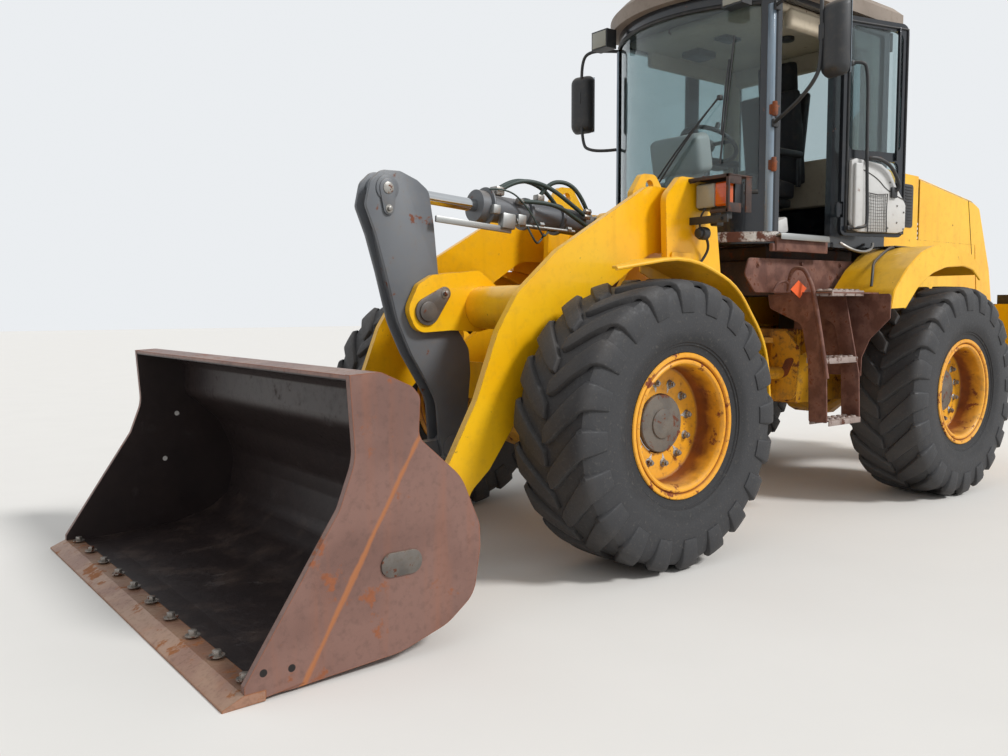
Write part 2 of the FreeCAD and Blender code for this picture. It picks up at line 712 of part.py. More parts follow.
def makeRearFrame():
    tail = tailX + tailPlate
    arch = tyreR + rearArch
    side = [(bulkX + 40, frameLow, 20), (-axleX + 255, frameLow, 60), (-axleX + 185, arch, 60),
            (-axleX - 185, arch, 60), (-axleX - 265, frameLow + 60, 60), (tail, frameLow + 60, 60),
            (tail, frameTop, 20), (bulkX + 40, frameTop, 20)]
    low, high = frontLow + deckThick + hitchGap, hitchTop - deckThick - hitchGap
    plan = [(0, hitchR), (bulkX / 2, 240), (bulkX, frameHalf)]
    plan += [(x, -y) for x, y in reversed(plan)]
    parts = both(plate(side, "xz", frameHalf - frameThick, frameHalf))
    for z in (low, high - deckThick):
        parts += [plate(plan, "xy", z, z + deckThick), upright(0, 0, hitchR, z, z + deckThick)]
    inner = frameHalf - 20
    parts += [box(bulkX + 10, -hitchR - 20, -90, 90, low + 35, high - 35),
              box(bulkX, bulkX + 40, -frameHalf, frameHalf, frameLow, frameTop),
              box(-axleX + 435, bulkX, -inner, inner, frameLow, frameLow + 25),
              box(-axleX - 205, -axleX + 205, -inner, inner, arch + 60, arch + 100),
              box(tail, tail + 50, -inner, inner, frameLow + 60, frameTop)]
    arm = [(inner, frameTop - 190, 20), (fenderOut - 250, 1250, 20), (fenderOut - 250, deckZ),
           (inner, deckZ)]
    brace = [(inner, frameTop - 50), (trackHalf - tyreHalf - 25, frameTop - 50),
             (trackHalf - tyreHalf - 25, deckZ),
             (inner, deckZ)]
    parts += both(plate(arm, "yz", bulkX - 40, bulkX - 10), plate(brace, "yz", cabRear + 90, cabRear + 120))
    root = [(bulkX + 20, steerRearY - 60), (steerRearX + 34, steerRearY)]
    parts += steerForks(steerRearX, steerRearY, root + [(steerRearX + 34, steerRearY + 30),
                                                        (bulkX + 20, steerRearY + 40)], True)
    bore = upright(0, 0, hitchPinR + pinGap, frontLow - 50, hitchTop + 50)
    save("rear_frame", join(parts).cut(bore))


def makePower():
    save("transmission", box(-axleX + 430, bulkX - 20, -300, 300, frameLow + 25 + seating, frameTop - 20))
    deck = tyreR + rearArch + 100 + seating
    save("engine_block", box(-axleX - 1265, -axleX + 15, -engineHalf, engineHalf, deck, engineTop))


def makeCounterweight():
    tail = tailX + tailPlate
    front = tailX + weightDepth
    profile = [(front, weightLow, 60), (tailX + 30, weightLow, 80), (tailX, weightLow + 140, 60),
               (tailX, weightTop),
               (front, weightTop)]
    plan = [(front + 60, -weightHalf), (tailX + 300, -weightHalf, 120), (tailX, 230 - weightHalf, 120)]
    plan += [(x, -y, r) for x, y, r in ((plan[2]), (plan[1]))] + [(front + 60, weightHalf)]
    mass = plate(profile, "xz", -weightHalf - 50, weightHalf + 50)
    mass = mass.common(plate(plan, "xy", weightLow - 60, weightTop + 80))
    mass = mass.cut(box(tail - seating, front + 160, -frameHalf - seating, frameHalf + seating, frameLow,
                        frameTop + seating))
    jawX = tailX - jawReach / 2
    lips = []
    for z in (drawZ - drawGap / 2 - drawLip, drawZ + drawGap / 2):
        lips.append(plate([(tailX + 20, -110), (tailX - jawReach, -80, 50), (tailX - jawReach, 80, 50),
                           (tailX + 20, 110)], "xy", z, z + drawLip))
    mass = mass.fuse(lips).removeSplitter()
    save("counterweight", mass.cut(upright(jawX, 0, drawBore, drawZ - 200, drawZ + 200)))


def makeHood():
    foot = weightTop + 8
    rows = [(hoodFront, hoodLow), (hoodFront, hoodTop), (tailX + 401, hoodTop - 115, 120),
            (tailX + 286, hoodTop - 155, 60), (tailX + 66, 1617, 200), (tailX, foot), (tailX + 291, foot),
            (tailX + 361, hoodLow)]
    hollow = [(hoodFront + 50, hoodLow - 50), (hoodFront + 50, hoodTop - hoodSkin),
              (tailX + 404, hoodTop - 125, 112),
              (tailX + 292, hoodTop - 164, 52), (tailX + 76, 1617, 192), (tailX + 14, foot - 30),
              (tailX + 321, foot - 30), (tailX + 371, hoodLow - 50)]
    shell = plate(rows, "xz", -hoodHalf, hoodHalf)
    brow = hoodLow + 90
    edges = [e for e in shell.Edges if all(abs(abs(v.Point.y) - hoodHalf) < 1 and v.Point.z > brow
                                           for v in e.Vertexes) and abs(e.BoundBox.YLength) < 1]
    shell = shell.makeChamfer(26, edges)
    shell = shell.cut(plate(hollow, "xz", hoodSkin - hoodHalf, hoodHalf - hoodSkin))
    vent = plate([(tailX + 300, hoodTop - 245), (tailX + 140, 1680), (tailX - 69, 1680),
                  (tailX + 101, hoodTop - 245)], "xz", -380, 380)
    pivotX, pivotZ = hoodFront + hoodSeam / 2, hoodTop - hingeDrop
    ears, knuckles = [], []
    for y in (-400, 380):
        ears += [box(hoodFront - 45, pivotX, y, y + 20, pivotZ - hoodPinR - 4, hoodTop - hoodSkin + 1),
                 crossPin(pivotX, pivotZ, hoodPinR + 4, y, y + 20)]
        knuckles += [box(pivotX, pivotX + 50, y + 20.5, y + 40, pivotZ - hoodPinR - 4,
                         hoodTop - hoodSkin + 1),
                     crossPin(pivotX, pivotZ, hoodPinR + 4, y + 20.5, y + 40),
                     crossPin(pivotX, pivotZ, hoodPinR, y, y + 40)]
    bores = [crossPin(pivotX, pivotZ, hoodPinR + pinGap, -410, 410)]
    save("hood", join([shell.cut(vent)] + ears).cut(bores))
    return knuckles


def makeGrille():
    top, low = hoodTop - 275, 1700.0
    bars = []
    for k in range(9):
        t = k / 8
        x, z = tailX + 245 - t * 145, top + t * (low - top)
        bars.append(box(x - 12, x + 12, seating - 380, 380 - seating, z - 9, z + 9))
    for y in (-200, 0, 200):
        bars.append(plate([(tailX + 263, top + 20), (tailX + 103, low - 12), (tailX + 123, low - 12),
                           (tailX + 281, top + 20)], "xz", y - 8, y + 8))
    save("rear_grille", join(bars))


def makeCovers(knuckles):
    front = cabRear - cowlGap
    back = hoodFront + hoodSeam
    cowl = plate([(front, hoodLow), (front, hoodTop + 15, 20), (back, hoodTop + 1), (back, hoodLow)], "xz",
                 -hoodHalf, hoodHalf)
    hollow = box(back - 10, front - hoodSkin, hoodSkin - hoodHalf, hoodHalf - hoodSkin, hoodLow - 10,
                 hoodTop - hoodSkin)
    hole = upright(stackX, stackY, 70, hoodTop - 100, hoodTop + 100)
    cowl = join([cowl.cut([hollow, hole])] + knuckles)
    deck = frameTop + seating
    rows = [(front, deck), (front, hoodLow - seating), (tailX + 369, hoodLow - seating),
            (tailX + 310, weightTop + 8),
            (tailX + 511, weightTop + 8), (tailX + 511, deck)]
    skirt = plate(rows, "xz", hoodHalf - coverThick, hoodHalf)
    ledge = box(tailX + 511, front, frameHalf - 30, hoodHalf - 10, deck, deck + 12)
    save("engine_covers", both(join([skirt, ledge])) + [cowl])


def makeStack():
    points = [(stackX, stackY, engineTop + seating), (stackX, stackY, hoodTop + 355),
              (stackX - 140, stackY, hoodTop + 475)]
    save("exhaust_stack", rail(points, 55, 12))


def cabPlan(grow):
    r = screenR + grow
    half = cabHalf + grow
    x = screenMidX + math.sqrt(r * r - half * half)
    back = cabRear - grow
    edges = [Part.Arc(Vector(x, half, 0), Vector(screenMidX + r, 0, 0), Vector(x, -half, 0)).toShape()]
    corners = [Vector(x, -half, 0), Vector(back, -half, 0), Vector(back, half, 0), Vector(x, half, 0)]
    edges += [Part.LineSegment(a, b).toShape() for a, b in zip(corners, corners[1:])]
    return Part.Face(Part.Wire(edges))


def cabPrism(grow, z0, z1):
    solid = cabPlan(grow).extrude(Vector(0, 0, z1 - z0))
    solid.translate(Vector(0, 0, z0))
    return solid


def windowBoxes(inset, thick):
    inner, outer = cabHalf - inset - thick, cabHalf - inset
    rearX0, rearX1, rearLow = cabRear + 70, doorRear - 230, glassLow + 260
    return [box(rearX0, rearX1, inner, outer, rearLow, glassHigh),
            box(rearX0, rearX1, -outer, -inner, rearLow, glassHigh),
            box(doorRear - 110, doorFront, -outer, -inner, glassLow + 110, glassHigh),
            box(cabRear + inset, cabRear + inset + thick, -560, 560, glassLow + 340, glassHigh)]


def makeCab():
    shell = cabPrism(0, cabFloor, cabEave).cut(cabPrism(-wall, cabFloor + wall, cabEave + 10))
    screen = box(postX + 40, 500, 70 - cabHalf, cabHalf - 70, glassLow, glassHigh)
    doorway = box(doorRear, doorFront, cabHalf - wall - 5, cabHalf + 5, doorLow, doorHigh)
    shell = shell.cut([screen, doorway] + windowBoxes(-5, wall + 10))
    knuckles = []
    for z in hingeZ:
        knuckles += [box(hingeX - knuckleR, hingeX + knuckleR, cabHalf - 5, hingeY, z - 16, z),
                     upright(hingeX, hingeY, knuckleR, z - 16, z),
                     upright(hingeX, hingeY, hingePinR, z - 1, z + 78)]
    save("cab_frame", join([shell] + knuckles))
    pane = cabPrism(-glassInset, glassLow, glassHigh)
    pane = pane.cut(cabPrism(-glassInset - glassThick, glassLow - 5, glassHigh + 5))
    save("cab_windows", [pane.common(screen)] + windowBoxes(glassInset, glassThick))
    roof = cabPrism(roofLip, cabEave, cabTop)
    rims = [e for e in roof.Edges if all(v.Point.z > cabTop - 1 for v in e.Vertexes)]
    save("cab_roof", roof.makeChamfer(roofSlope, rims))


def makeCabBase():
    front = ladderFront - 20
    base = cabPrism(baseHalf - cabHalf, deckZ + seating, cabFloor - seating)
    base = base.cut(box(front, postX + 630, -cabHalf, cabHalf, deckZ - 100, cabFloor))
    base = base.cut(box(cabRear + 80, front - 30, -baseHalf + 40, baseHalf - 40, deckZ - 100,
                        cabFloor - 50))
    save("cab_base", base)


def makeSeat():
    floor = cabFloor + wall
    cushion = box(-780, -280, -240, 240, floor + 330, floor + 450)
    back = plate([(-840, floor + 420), (-720, floor + 420), (-800, cabEave - headRoom, 50),
                  (-900, cabEave - headRoom, 50)], "xz", -230, 230)
    base = box(-700, -360, -180, 180, floor, floor + 340)
    save("seat", join([cushion, back, base]))


def makeControls():
    floor = cabFloor + wall
    column = rod((10, 0, floor + 60), (-110, 0, floor + 600), 45)
    console = box(-30, 150, -180, 180, floor, floor + 350)
    wheel = ring([(205, -14), (205, 14), (177, 14), (177, -14)], 20)
    wheel = wheel.fuse([box(-190, 190, -8, 8, -14, 14), rod((0, -15, 0), (0, 15, 0), 40)])
    wheel.rotate(Vector(0, 0, 0), Vector(1, 0, 0), 90)
    wheel.rotate(Vector(0, 0, 0), Vector(0, 1, 0), -28)
    wheel.translate(Vector(-118, 0, floor + 615))
    bench = box(-760, -120, -520, -330, floor, floor + 530)
    save("cab_controls", [join([column, console, wheel]), bench])


def makeDoor():
    high, low = doorHigh - 5, doorLow + 5
    middle = doorLow + 530
    frame = plate([(10, low, 40), (10, high, 60), (doorWidth + 5, high, 60), (doorWidth + 5, low, 60)],
                  "xz", -20, 10)
    upper = [(60, middle + 30, 40), (60, high - 55, 60), (doorWidth - 45, high - 55, 60),
             (doorWidth - 45, middle + 30, 60)]
    lower = [(75, low + 65, 40), (75, middle - 30, 40), (doorWidth - 60, middle - 30, 40),
             (doorWidth - 60, low + 65, 40)]
    frame = frame.cut([plate(rows, "xz", -40, 40) for rows in (upper, lower)])
    for z in hingeZ:
        frame = frame.cut(box(-30, knuckleR + 12, -40, 40, z - 20, z + 82))
    knuckles = []
    for z in hingeZ:
        knuckles += [upright(0, 0, knuckleR, z + seating, z + 70),
                     box(0, knuckleR + 20, -12, 5, z + seating, z + 70)]
    frame = join([frame] + knuckles)
    frame = frame.cut([upright(0, 0, hingePinR + pinGap, z - 5, z + 85) for z in hingeZ])
    panes = [plate(upper, "xz", -9, -3), plate(lower, "xz", -12, 0)]
    for node, parts in (("door_frame", [frame]), ("door_glass", panes)):
        for s in parts:
            s.rotate(Vector(0, 0, 0), Vector(0, 0, 1), doorOpen)
            s.translate(Vector(hingeX, hingeY, 0))
        save(node, parts)


def makeRearFenders():
    reach = tyreR + fenderGap
    crown = tyreR + fenderGap + 831
    front = -axleX + reach - 190
    outer = [(front, deckZ - 88), (front - 15, deckZ + 40, 60), (front - 215, crown - 91, 120),
             (front - 410, crown - 9, 100), (front - 630, crown, 100), (front - 902, crown - 75, 100),
             (front - 1100, crown - 149)]
    arch = []
    for k in range(7):
        a = math.radians(116 - k * 12.5)
        arch.append((-axleX + reach * math.cos(a), tyreR + reach * math.sin(a)))
    hollow = [(front - 45, deckZ - 80), (front - 55, deckZ + 20, 40), (front - 235, crown - 115, 100),
              (front - 415, crown - 25, 90), (front - 627, crown - 16, 90), (front - 895, crown - 91, 90),
              (front - 1070, crown - 161), (front - 1055, deckZ + 60), (-axleX, deckZ + 20),
              (front - 55, deckZ - 130)]
    inside = cabHalf + seating
    body = plate(outer + arch, "xz", inside, fenderOut)
    body = body.cut(plate(hollow, "xz", inside - 20, fenderOut - fenderSkin))
    save("rear_fenders", both(body))


def makeDecks():
    edge = frameHalf + 10
    guard = [(edge, frameTop), (edge, deckZ - seating), (fenderOut - 39, deckZ - seating, 20),
             (fenderOut - 41, 1227, 20),
             (fenderOut - 173, 1095, 60), (fenderOut - 225, 977, 40), (fenderOut - 227, 860), (560, 860),
             (560, frameTop)]
    deck = [(ladderFront, baseHalf + seating), (ladderFront, ladderOut, 30), (mudX - 226, ladderOut),
            (mudX - 226, baseHalf + seating)]
    save("platforms", both(plate(guard, "yz", mudX - 8, mudX),
                           plate(deck, "xy", deckZ + seating, deckZ + deckThin)))


def makeLadders():
    toe = ladderOut - 60
    rows = [(toe, ladderLow, 20), (ladderOut, ladderLow, 20), (ladderOut, ladderLow + 270, 40),
            (ladderOut - 100, deckZ),
            (ladderOut - 200, deckZ), (toe, ladderLow + 300, 40)]
    plates = [plate(rows, "yz", x - stringer, x) for x in (ladderFront, ladderRear + stringer)]
    treads = [box(ladderRear, ladderFront, ladderOut - 130, ladderOut, z, z + tread)
              for z in (ladderLow + 5, ladderLow + 385)]
    top = deckZ + deckThin + seating
    loop = rail([(ladderFront - 40, ladderOut - 40, top), (ladderFront - 40, ladderOut - 40, top + 150),
                 (ladderFront - 90, ladderOut - 40, top + 190),
                 (ladderRear + 130, ladderOut - 40, top + 190),
                 (ladderRear + 80, ladderOut - 40, top + 150), (ladderRear + 80, ladderOut - 40, top)], 14)
    save("ladders", both(join(plates + treads), loop))


def makeMirrors():
    root = cabHalf + seating
    high, low = doorHigh - 30, doorLow + 690
    points = [(postX - 35, root, high), (postX - 35, root + 30, high), (postX + 60, root + 110, high + 20),
              (postX + 110, root + 230, high + 10),
              (postX + 110, root + 280, high - 40), (postX + 110, root + 280, low + 40),
              (postX + 110, root + 230, low - 10), (postX + 60, root + 110, low - 20),
              (postX - 35, root + 30, low), (postX - 35, root, low)]
    middle = (high + low) / 2
    house = plate([(postX + 30, middle - 180, 30), (postX + 30, middle + 230, 30),
                   (postX + 92, middle + 200),
                   (postX + 92, middle - 150)], "xz", root + 200, root + 360)
    clamp = box(postX + 85, postX + 118, root + 265, root + 295, middle - 20, middle + 70)
    save("mirrors", both(join([rail(points, 12), house, clamp])))


def makeLamps():
    lamps = []
    for x, y in ((330, 560), (cabRear - 55, 560)):
        lamps += both(box(x - 45, x + 45, y - 75, y + 75, cabEave - 125, cabEave - seating))
    tail = both(box(tailX + 40, tailX + 100, 600, 760, weightTop + seating, weightTop + 78))
    save("lamps", lamps + tail)


makeWheels()
makeAxles()
makeFrontFrame()
makeFrontFenders()
makeHeadlights()
makeBoom()
makeLever()
makeLink()
makeBucket()
makeCylinders()
makeRearFrame()
makePower()
makeCounterweight()
makeCovers(makeHood())
makeGrille()
makeStack()
makeCab()
makeCabBase()
makeSeat()
makeControls()
makeDoor()
makeRearFenders()
makeDecks()
makeLadders()
makeMirrors()
makeLamps()
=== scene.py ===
import math
import random

import bmesh
import bpy
from mathutils import Euler, Matrix, Vector


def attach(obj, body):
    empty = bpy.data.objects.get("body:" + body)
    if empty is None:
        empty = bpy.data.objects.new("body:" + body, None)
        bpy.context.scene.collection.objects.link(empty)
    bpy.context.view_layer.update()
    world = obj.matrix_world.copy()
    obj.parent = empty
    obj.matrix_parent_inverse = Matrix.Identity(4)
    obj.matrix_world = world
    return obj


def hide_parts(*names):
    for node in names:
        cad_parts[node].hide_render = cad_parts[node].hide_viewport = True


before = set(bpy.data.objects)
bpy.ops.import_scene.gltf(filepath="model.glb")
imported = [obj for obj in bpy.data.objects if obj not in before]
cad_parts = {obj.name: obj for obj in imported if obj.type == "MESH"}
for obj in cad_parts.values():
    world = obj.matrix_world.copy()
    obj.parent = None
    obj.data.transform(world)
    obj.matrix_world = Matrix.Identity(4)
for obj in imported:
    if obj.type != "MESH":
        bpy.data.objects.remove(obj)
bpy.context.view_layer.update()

steerPin = -0.214  # x of the articulation pin; places are given from it, in metres
axle = 1.435  # wheel centres ahead of and behind the pin
tyreRadius = 0.72
trackHalf = 0.925
alongX = (0, math.pi / 2, 0)
alongY = (math.pi / 2, 0, 0)
outwards = (-math.pi / 2, 0, 0)
upright = (0, 0, 0)
print("stage: frame loaded,", len(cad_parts), "nodes")


# Materials

def linear(colour):
    out = []
    for k in (1, 3, 5):
        c = int(colour[k:k + 2], 16) / 255
        out.append(c / 12.92 if c <= 0.04045 else ((c + 0.055) / 1.055) ** 2.4)
    return (*out, 1.0)


def addNode(tree, kind, inputs=None, **settings):
    node = tree.nodes.new("ShaderNode" + kind)
    for key, value in settings.items():
        setattr(node, key, value)
    for socket, value in (inputs or {}).items():
        if isinstance(value, bpy.types.NodeSocket):
            tree.links.new(value, node.inputs[socket])
        else:
            node.inputs[socket].default_value = value
    return node


def ramp(tree, value, start=0.0, end=1.0, high=1.0, low=0.0, kind="LINEAR"):
    limits = {0: value, 1: start, 2: end, 3: low, 4: high}
    return addNode(tree, "MapRange", limits, interpolation_type=kind).outputs[0]


def reckon(tree, operation, *values, **settings):
    return addNode(tree, "Math", dict(enumerate(values)), operation=operation, **settings).outputs[0]


def vectors(tree, operation, *values):
    # the sums of vectors that give a plain number
    return addNode(tree, "VectorMath", dict(enumerate(values)), operation=operation).outputs["Value"]


def noise(tree, place, scale, detail, roughness=0.5):
    return addNode(tree, "TexNoise", {"Vector": place, "Scale": scale, "Detail": detail,
                                      "Roughness": roughness}).outputs[0]


def blend(tree, share, *tones):
    # Mixes two tones, each a hex string or a socket.
    first, second = [linear(tone) if isinstance(tone, str) else tone for tone in tones]
    return addNode(tree, "Mix", {0: share, 6: first, 7: second}, data_type="RGBA").outputs[2]


def wire(tree, shader, **sockets):
    for socket, source in sockets.items():
        tree.links.new(source, shader.inputs[socket.replace("_", " ")])


def bumped(tree, height, distance, strength):
    return addNode(tree, "Bump", {"Height": height, "Distance": distance, "Strength": strength}).outputs[0]


def startMaterial(name, **sockets):
    material = bpy.data.materials.new(name)
    material.use_nodes = True
    tree = material.node_tree
    shader = tree.nodes["Principled BSDF"]
    for socket, value in sockets.items():
        shader.inputs[socket.replace("_", " ")].default_value = value
    return material, tree, shader


# Weathered coat: two tones of the coat in broad patches, grime in small
# specks, dust where the face looks up, rust in spots and along the edges.
coatLook = {
    "patch": 600, "grain": 45, "spot": 90, "rustShare": 0.0, "edge": 7, "edgeShare": 0.0, "dustShare": 0.25,
    "grimeShare": 0.35, "smooth": 0.35, "rough": 0.75, "peel": 3.0, "peelDepth": 0.0006, "metal": 0.0,
    "coat": 0.0, "streak": 0.0, "dust": "#a58e74", "grime": "#5c4a38", "rust": "#7a3d1c",
    "deepRust": "#3f2114",
}


def weathered(name, base, faded, **changes):
    look = {**coatLook, **changes}
    material, tree, shader = startMaterial(name, Metallic=look["metal"], Coat_Weight=look["coat"])
    place = addNode(tree, "TexCoord")
    at = place.outputs["Object"]
    patch = ramp(tree, noise(tree, at, 1000 / look["patch"], 5.0), 0.38, 0.62, kind="SMOOTHSTEP")
    grain = noise(tree, at, 1000 / look["grain"], 9.0, 0.65)
    grime = ramp(tree, grain, 0.5, 0.68, look["grimeShare"])
    colour = blend(tree, grime, blend(tree, patch, base, faded), look["grime"])
    facing = addNode(tree, "SeparateXYZ", {0: place.outputs["Normal"]})
    dust = ramp(tree, facing.outputs[2], 0.35, 0.95, look["dustShare"])
    colour = blend(tree, reckon(tree, "MULTIPLY", dust, patch), colour, look["dust"])
    if look["streak"]:  # runs of rust and dirt that follow the rain down
        drawn = addNode(tree, "Mapping", {0: at, 3: (14.0, 14.0, 1.1)}).outputs[0]
        runs = ramp(tree, noise(tree, drawn, 1.0, 6.0), 0.53, 0.7, look["streak"])
        colour = blend(tree, runs, colour, look["rust"])
    blister = noise(tree, at, 1000 / look["spot"], 10.0, 0.68)
    edge = 0.66 - 0.3 * look["rustShare"]
    worn = ramp(tree, blister, edge, edge + 0.05)
    if look["edgeShare"]:
        rounded = addNode(tree, "Bevel", {"Radius": look["edge"] / 1000}, samples=4)
        flat = addNode(tree, "NewGeometry")
        turn = vectors(tree, "DOT_PRODUCT", rounded.outputs[0], flat.outputs["Normal"])
        rim = reckon(tree, "MULTIPLY", ramp(tree, turn, 0.99, 0.85, look["edgeShare"]), blister)
        worn = reckon(tree, "MAXIMUM", worn, ramp(tree, rim, 0.22, 0.3))
    colour = blend(tree, worn, colour, blend(tree, grain, look["deepRust"], look["rust"]))
    dull = reckon(tree, "ADD", grime, worn, use_clamp=True)
    height = reckon(tree, "MULTIPLY_ADD", worn, 0.6, noise(tree, at, 1000 / look["peel"], 2.0))
    wire(tree, shader, Base_Color=colour, Roughness=ramp(tree, dull, high=look["rough"], low=look["smooth"]),
         Normal=bumped(tree, height, look["peelDepth"], 0.6))
    return material


# Enamel on steel plate: a glossy yellow, faded in patches, chipped to rust at
# the edges and dusty on top.
yellowEnamel = weathered("yellowEnamel", "#efb106", "#f2bb18", rustShare=0.0, edgeShare=0.5, edge=5, spot=70,
                         dustShare=0.12, grimeShare=0.16, smooth=0.3, coat=0.15, streak=0.1, grime="#a9742a")
# The same enamel low on the machine, with more rust, mud and runs.
muddyEnamel = weathered("muddyEnamel", "#c88c14", "#d79b1f", rustShare=0.3, edgeShare=0.8, edge=9,
                        dustShare=0.7,
                        grimeShare=0.6, smooth=0.45, streak=0.5)
# Dark grey enamel on the linkage and cylinders, dulled by dust.
greyEnamel = weathered("greyEnamel", "#55585d", "#64676b", rustShare=0.08, edgeShare=0.4, edge=4,
                       dustShare=0.4,
                       grimeShare=0.25, smooth=0.42, grime="#6d6459")
# Black gloss paint on the cab pressings.
blackGloss = weathered("blackGloss", "#15181d", "#1d2127", rustShare=0.06, edgeShare=0.25, edge=3,
                       dustShare=0.35,
                       grimeShare=0.1, smooth=0.18, rough=0.5, coat=0.3)
# Hot-rolled steel of the cutting edge, polished brown by digging.
edgePlate = weathered("edgePlate", "#8a6552", "#9a745f", patch=200, grain=20, spot=120, rustShare=0.3,
                      edgeShare=0.7,
                      edge=8, dustShare=0.3, grimeShare=0.4, smooth=0.4, rough=0.75, metal=0.25,
                      grime="#57402f",
                      rust="#a3683a", deepRust="#7a4a28", streak=0.2)
# Rusted ladder and base steel with a film of dried clay.
claySteel = weathered("claySteel", "#5c382d", "#754f42", patch=90, grain=25, rustShare=0.22, edgeShare=0.4,
                      edge=6,
                      dustShare=0.42, grimeShare=0.34, smooth=0.7, rough=0.9, grime="#3a251d")
# Cast iron hubs, grey with rust bloom.
castIron = weathered("castIron", "#5b5650", "#696259", patch=80, grain=12, spot=60, rustShare=0.35,
                     edgeShare=0.4,
                     edge=4, smooth=0.55, peel=1.5, peelDepth=0.0012)
# Moulded grey plastic of the door lining and the cab trim.
greyPlastic = weathered("greyPlastic", "#bdbcba", "#c6c5c2", dustShare=0.2, grimeShare=0.16, smooth=0.5,
                        grime="#8c857c", peel=1.2, peelDepth=0.0004)
# Beige foam headliner and rear trim.
beigeTrim = weathered("beigeTrim", "#b9ab95", "#c4b7a1", dustShare=0.1, grimeShare=0.15, smooth=0.8, peel=2.0,
                      peelDepth=0.0008)
# Brown-grey roof moulding, chalked by the sun.
roofMoulding = weathered("roofMoulding", "#7b6e62", "#8a7d71", dustShare=0.3, grimeShare=0.3, smooth=0.6,
                         peel=1.5, peelDepth=0.0004)
# Black moulded plastic and rubber trim.
blackPlastic = weathered("blackPlastic", "#202123", "#2a2b2d", dustShare=0.4, grimeShare=0.2, smooth=0.5,
                         grime="#5f574e", peel=1.2, peelDepth=0.0004)
# Bare zinc-plated steel of bolts, nuts and fittings.
zincSteel = weathered("zincSteel", "#8f8d89", "#a09d97", patch=40, grain=8, spot=30, rustShare=0.25,
                      smooth=0.35,
                      metal=0.7, peel=1.0, peelDepth=0.0003)
# White paint on the cab's base strip, blown off by rust.
whiteStrip = weathered("whiteStrip", "#c6c4c0", "#d2d0cc", rustShare=0.55, edgeShare=0.9, edge=12, spot=120,
                       grimeShare=0.3, smooth=0.5, streak=0.3, rust="#6b3a26")
# Dusty iron of the engine and gearbox.
engineIron = weathered("engineIron", "#4a4a48", "#5a5752", rustShare=0.2, dustShare=0.7, grimeShare=0.6,
                       smooth=0.7)

# Front post paint: black gloss, with its reflection of the sky painted into the colour as blue-grey.
postSkyReflection = weathered("postSkyReflection", "#6d7d8c", "#7b8a97", dustShare=0.1, grimeShare=0.1, smooth=0.16,
                      rough=0.4, coat=0.5)
# Scaled iron brackets, rusted through.
rustyIron = weathered("rustyIron", "#6b3a22", "#80482a", patch=120, grain=14, spot=60, rustShare=0.6,
                      grimeShare=0.5,
                      smooth=0.7, rough=0.9, grime="#2c1a13", rust="#a4562a", peel=1.5, peelDepth=0.0012)
# The same rust turned dark under old paint.
scaledIron = weathered("scaledIron", "#2e201c", "#3c2923", patch=120, grain=14, spot=60, rustShare=0.3,
                       edgeShare=0.5,
                       edge=4, smooth=0.7, rough=0.9, rust="#6e3a20", peel=1.5, peelDepth=0.0012)
# Step treads, scuffed grey over the rust.
wornTread = weathered("wornTread", "#8d7d76", "#9b8c85", patch=90, grain=12, spot=70, rustShare=0.35,
                      edgeShare=0.3,
                      edge=4, smooth=0.6, rough=0.85, rust="#5d3527", peel=1.5, peelDepth=0.0006)
# Woven black seat cloth, worn grey.
seatCloth = weathered("seatCloth", "#1b1b1d", "#26262a", dustShare=0.2, grimeShare=0.15, smooth=0.85,
                      peel=1.6,
                      peelDepth=0.0009)


def maskOver(tree, shader, share, colour):
    # Lays a colour over the base colour where the share says.
    old = shader.inputs["Base Color"].links[0].from_socket
    wire(tree, shader, Base_Color=blend(tree, share, old, colour))


# The sloping edge of the side cutter is a line in the plane of the cheek: its
# direction and its distance from the origin. Holes: place and tone, the dark tone painted shade inside the
# hole, the pale tone painted light seen through it.
bucketCoat = {
    "slope": (0.8629, 0.0, 0.5053), "slopeAway": 2.848, "hole": (0.0145, 0.0125),
    "holes": ((3.433, 1.27, 0.098, "#120d0c"), (3.333, 1.27, 0.09, "#120d0c"),
              (2.761, -1.24, 0.78, "#d8d4cf"),
              (2.885, -1.24, 0.693, "#d8d4cf"), (2.96, -1.24, 0.436, "#d8d4cf")),
}


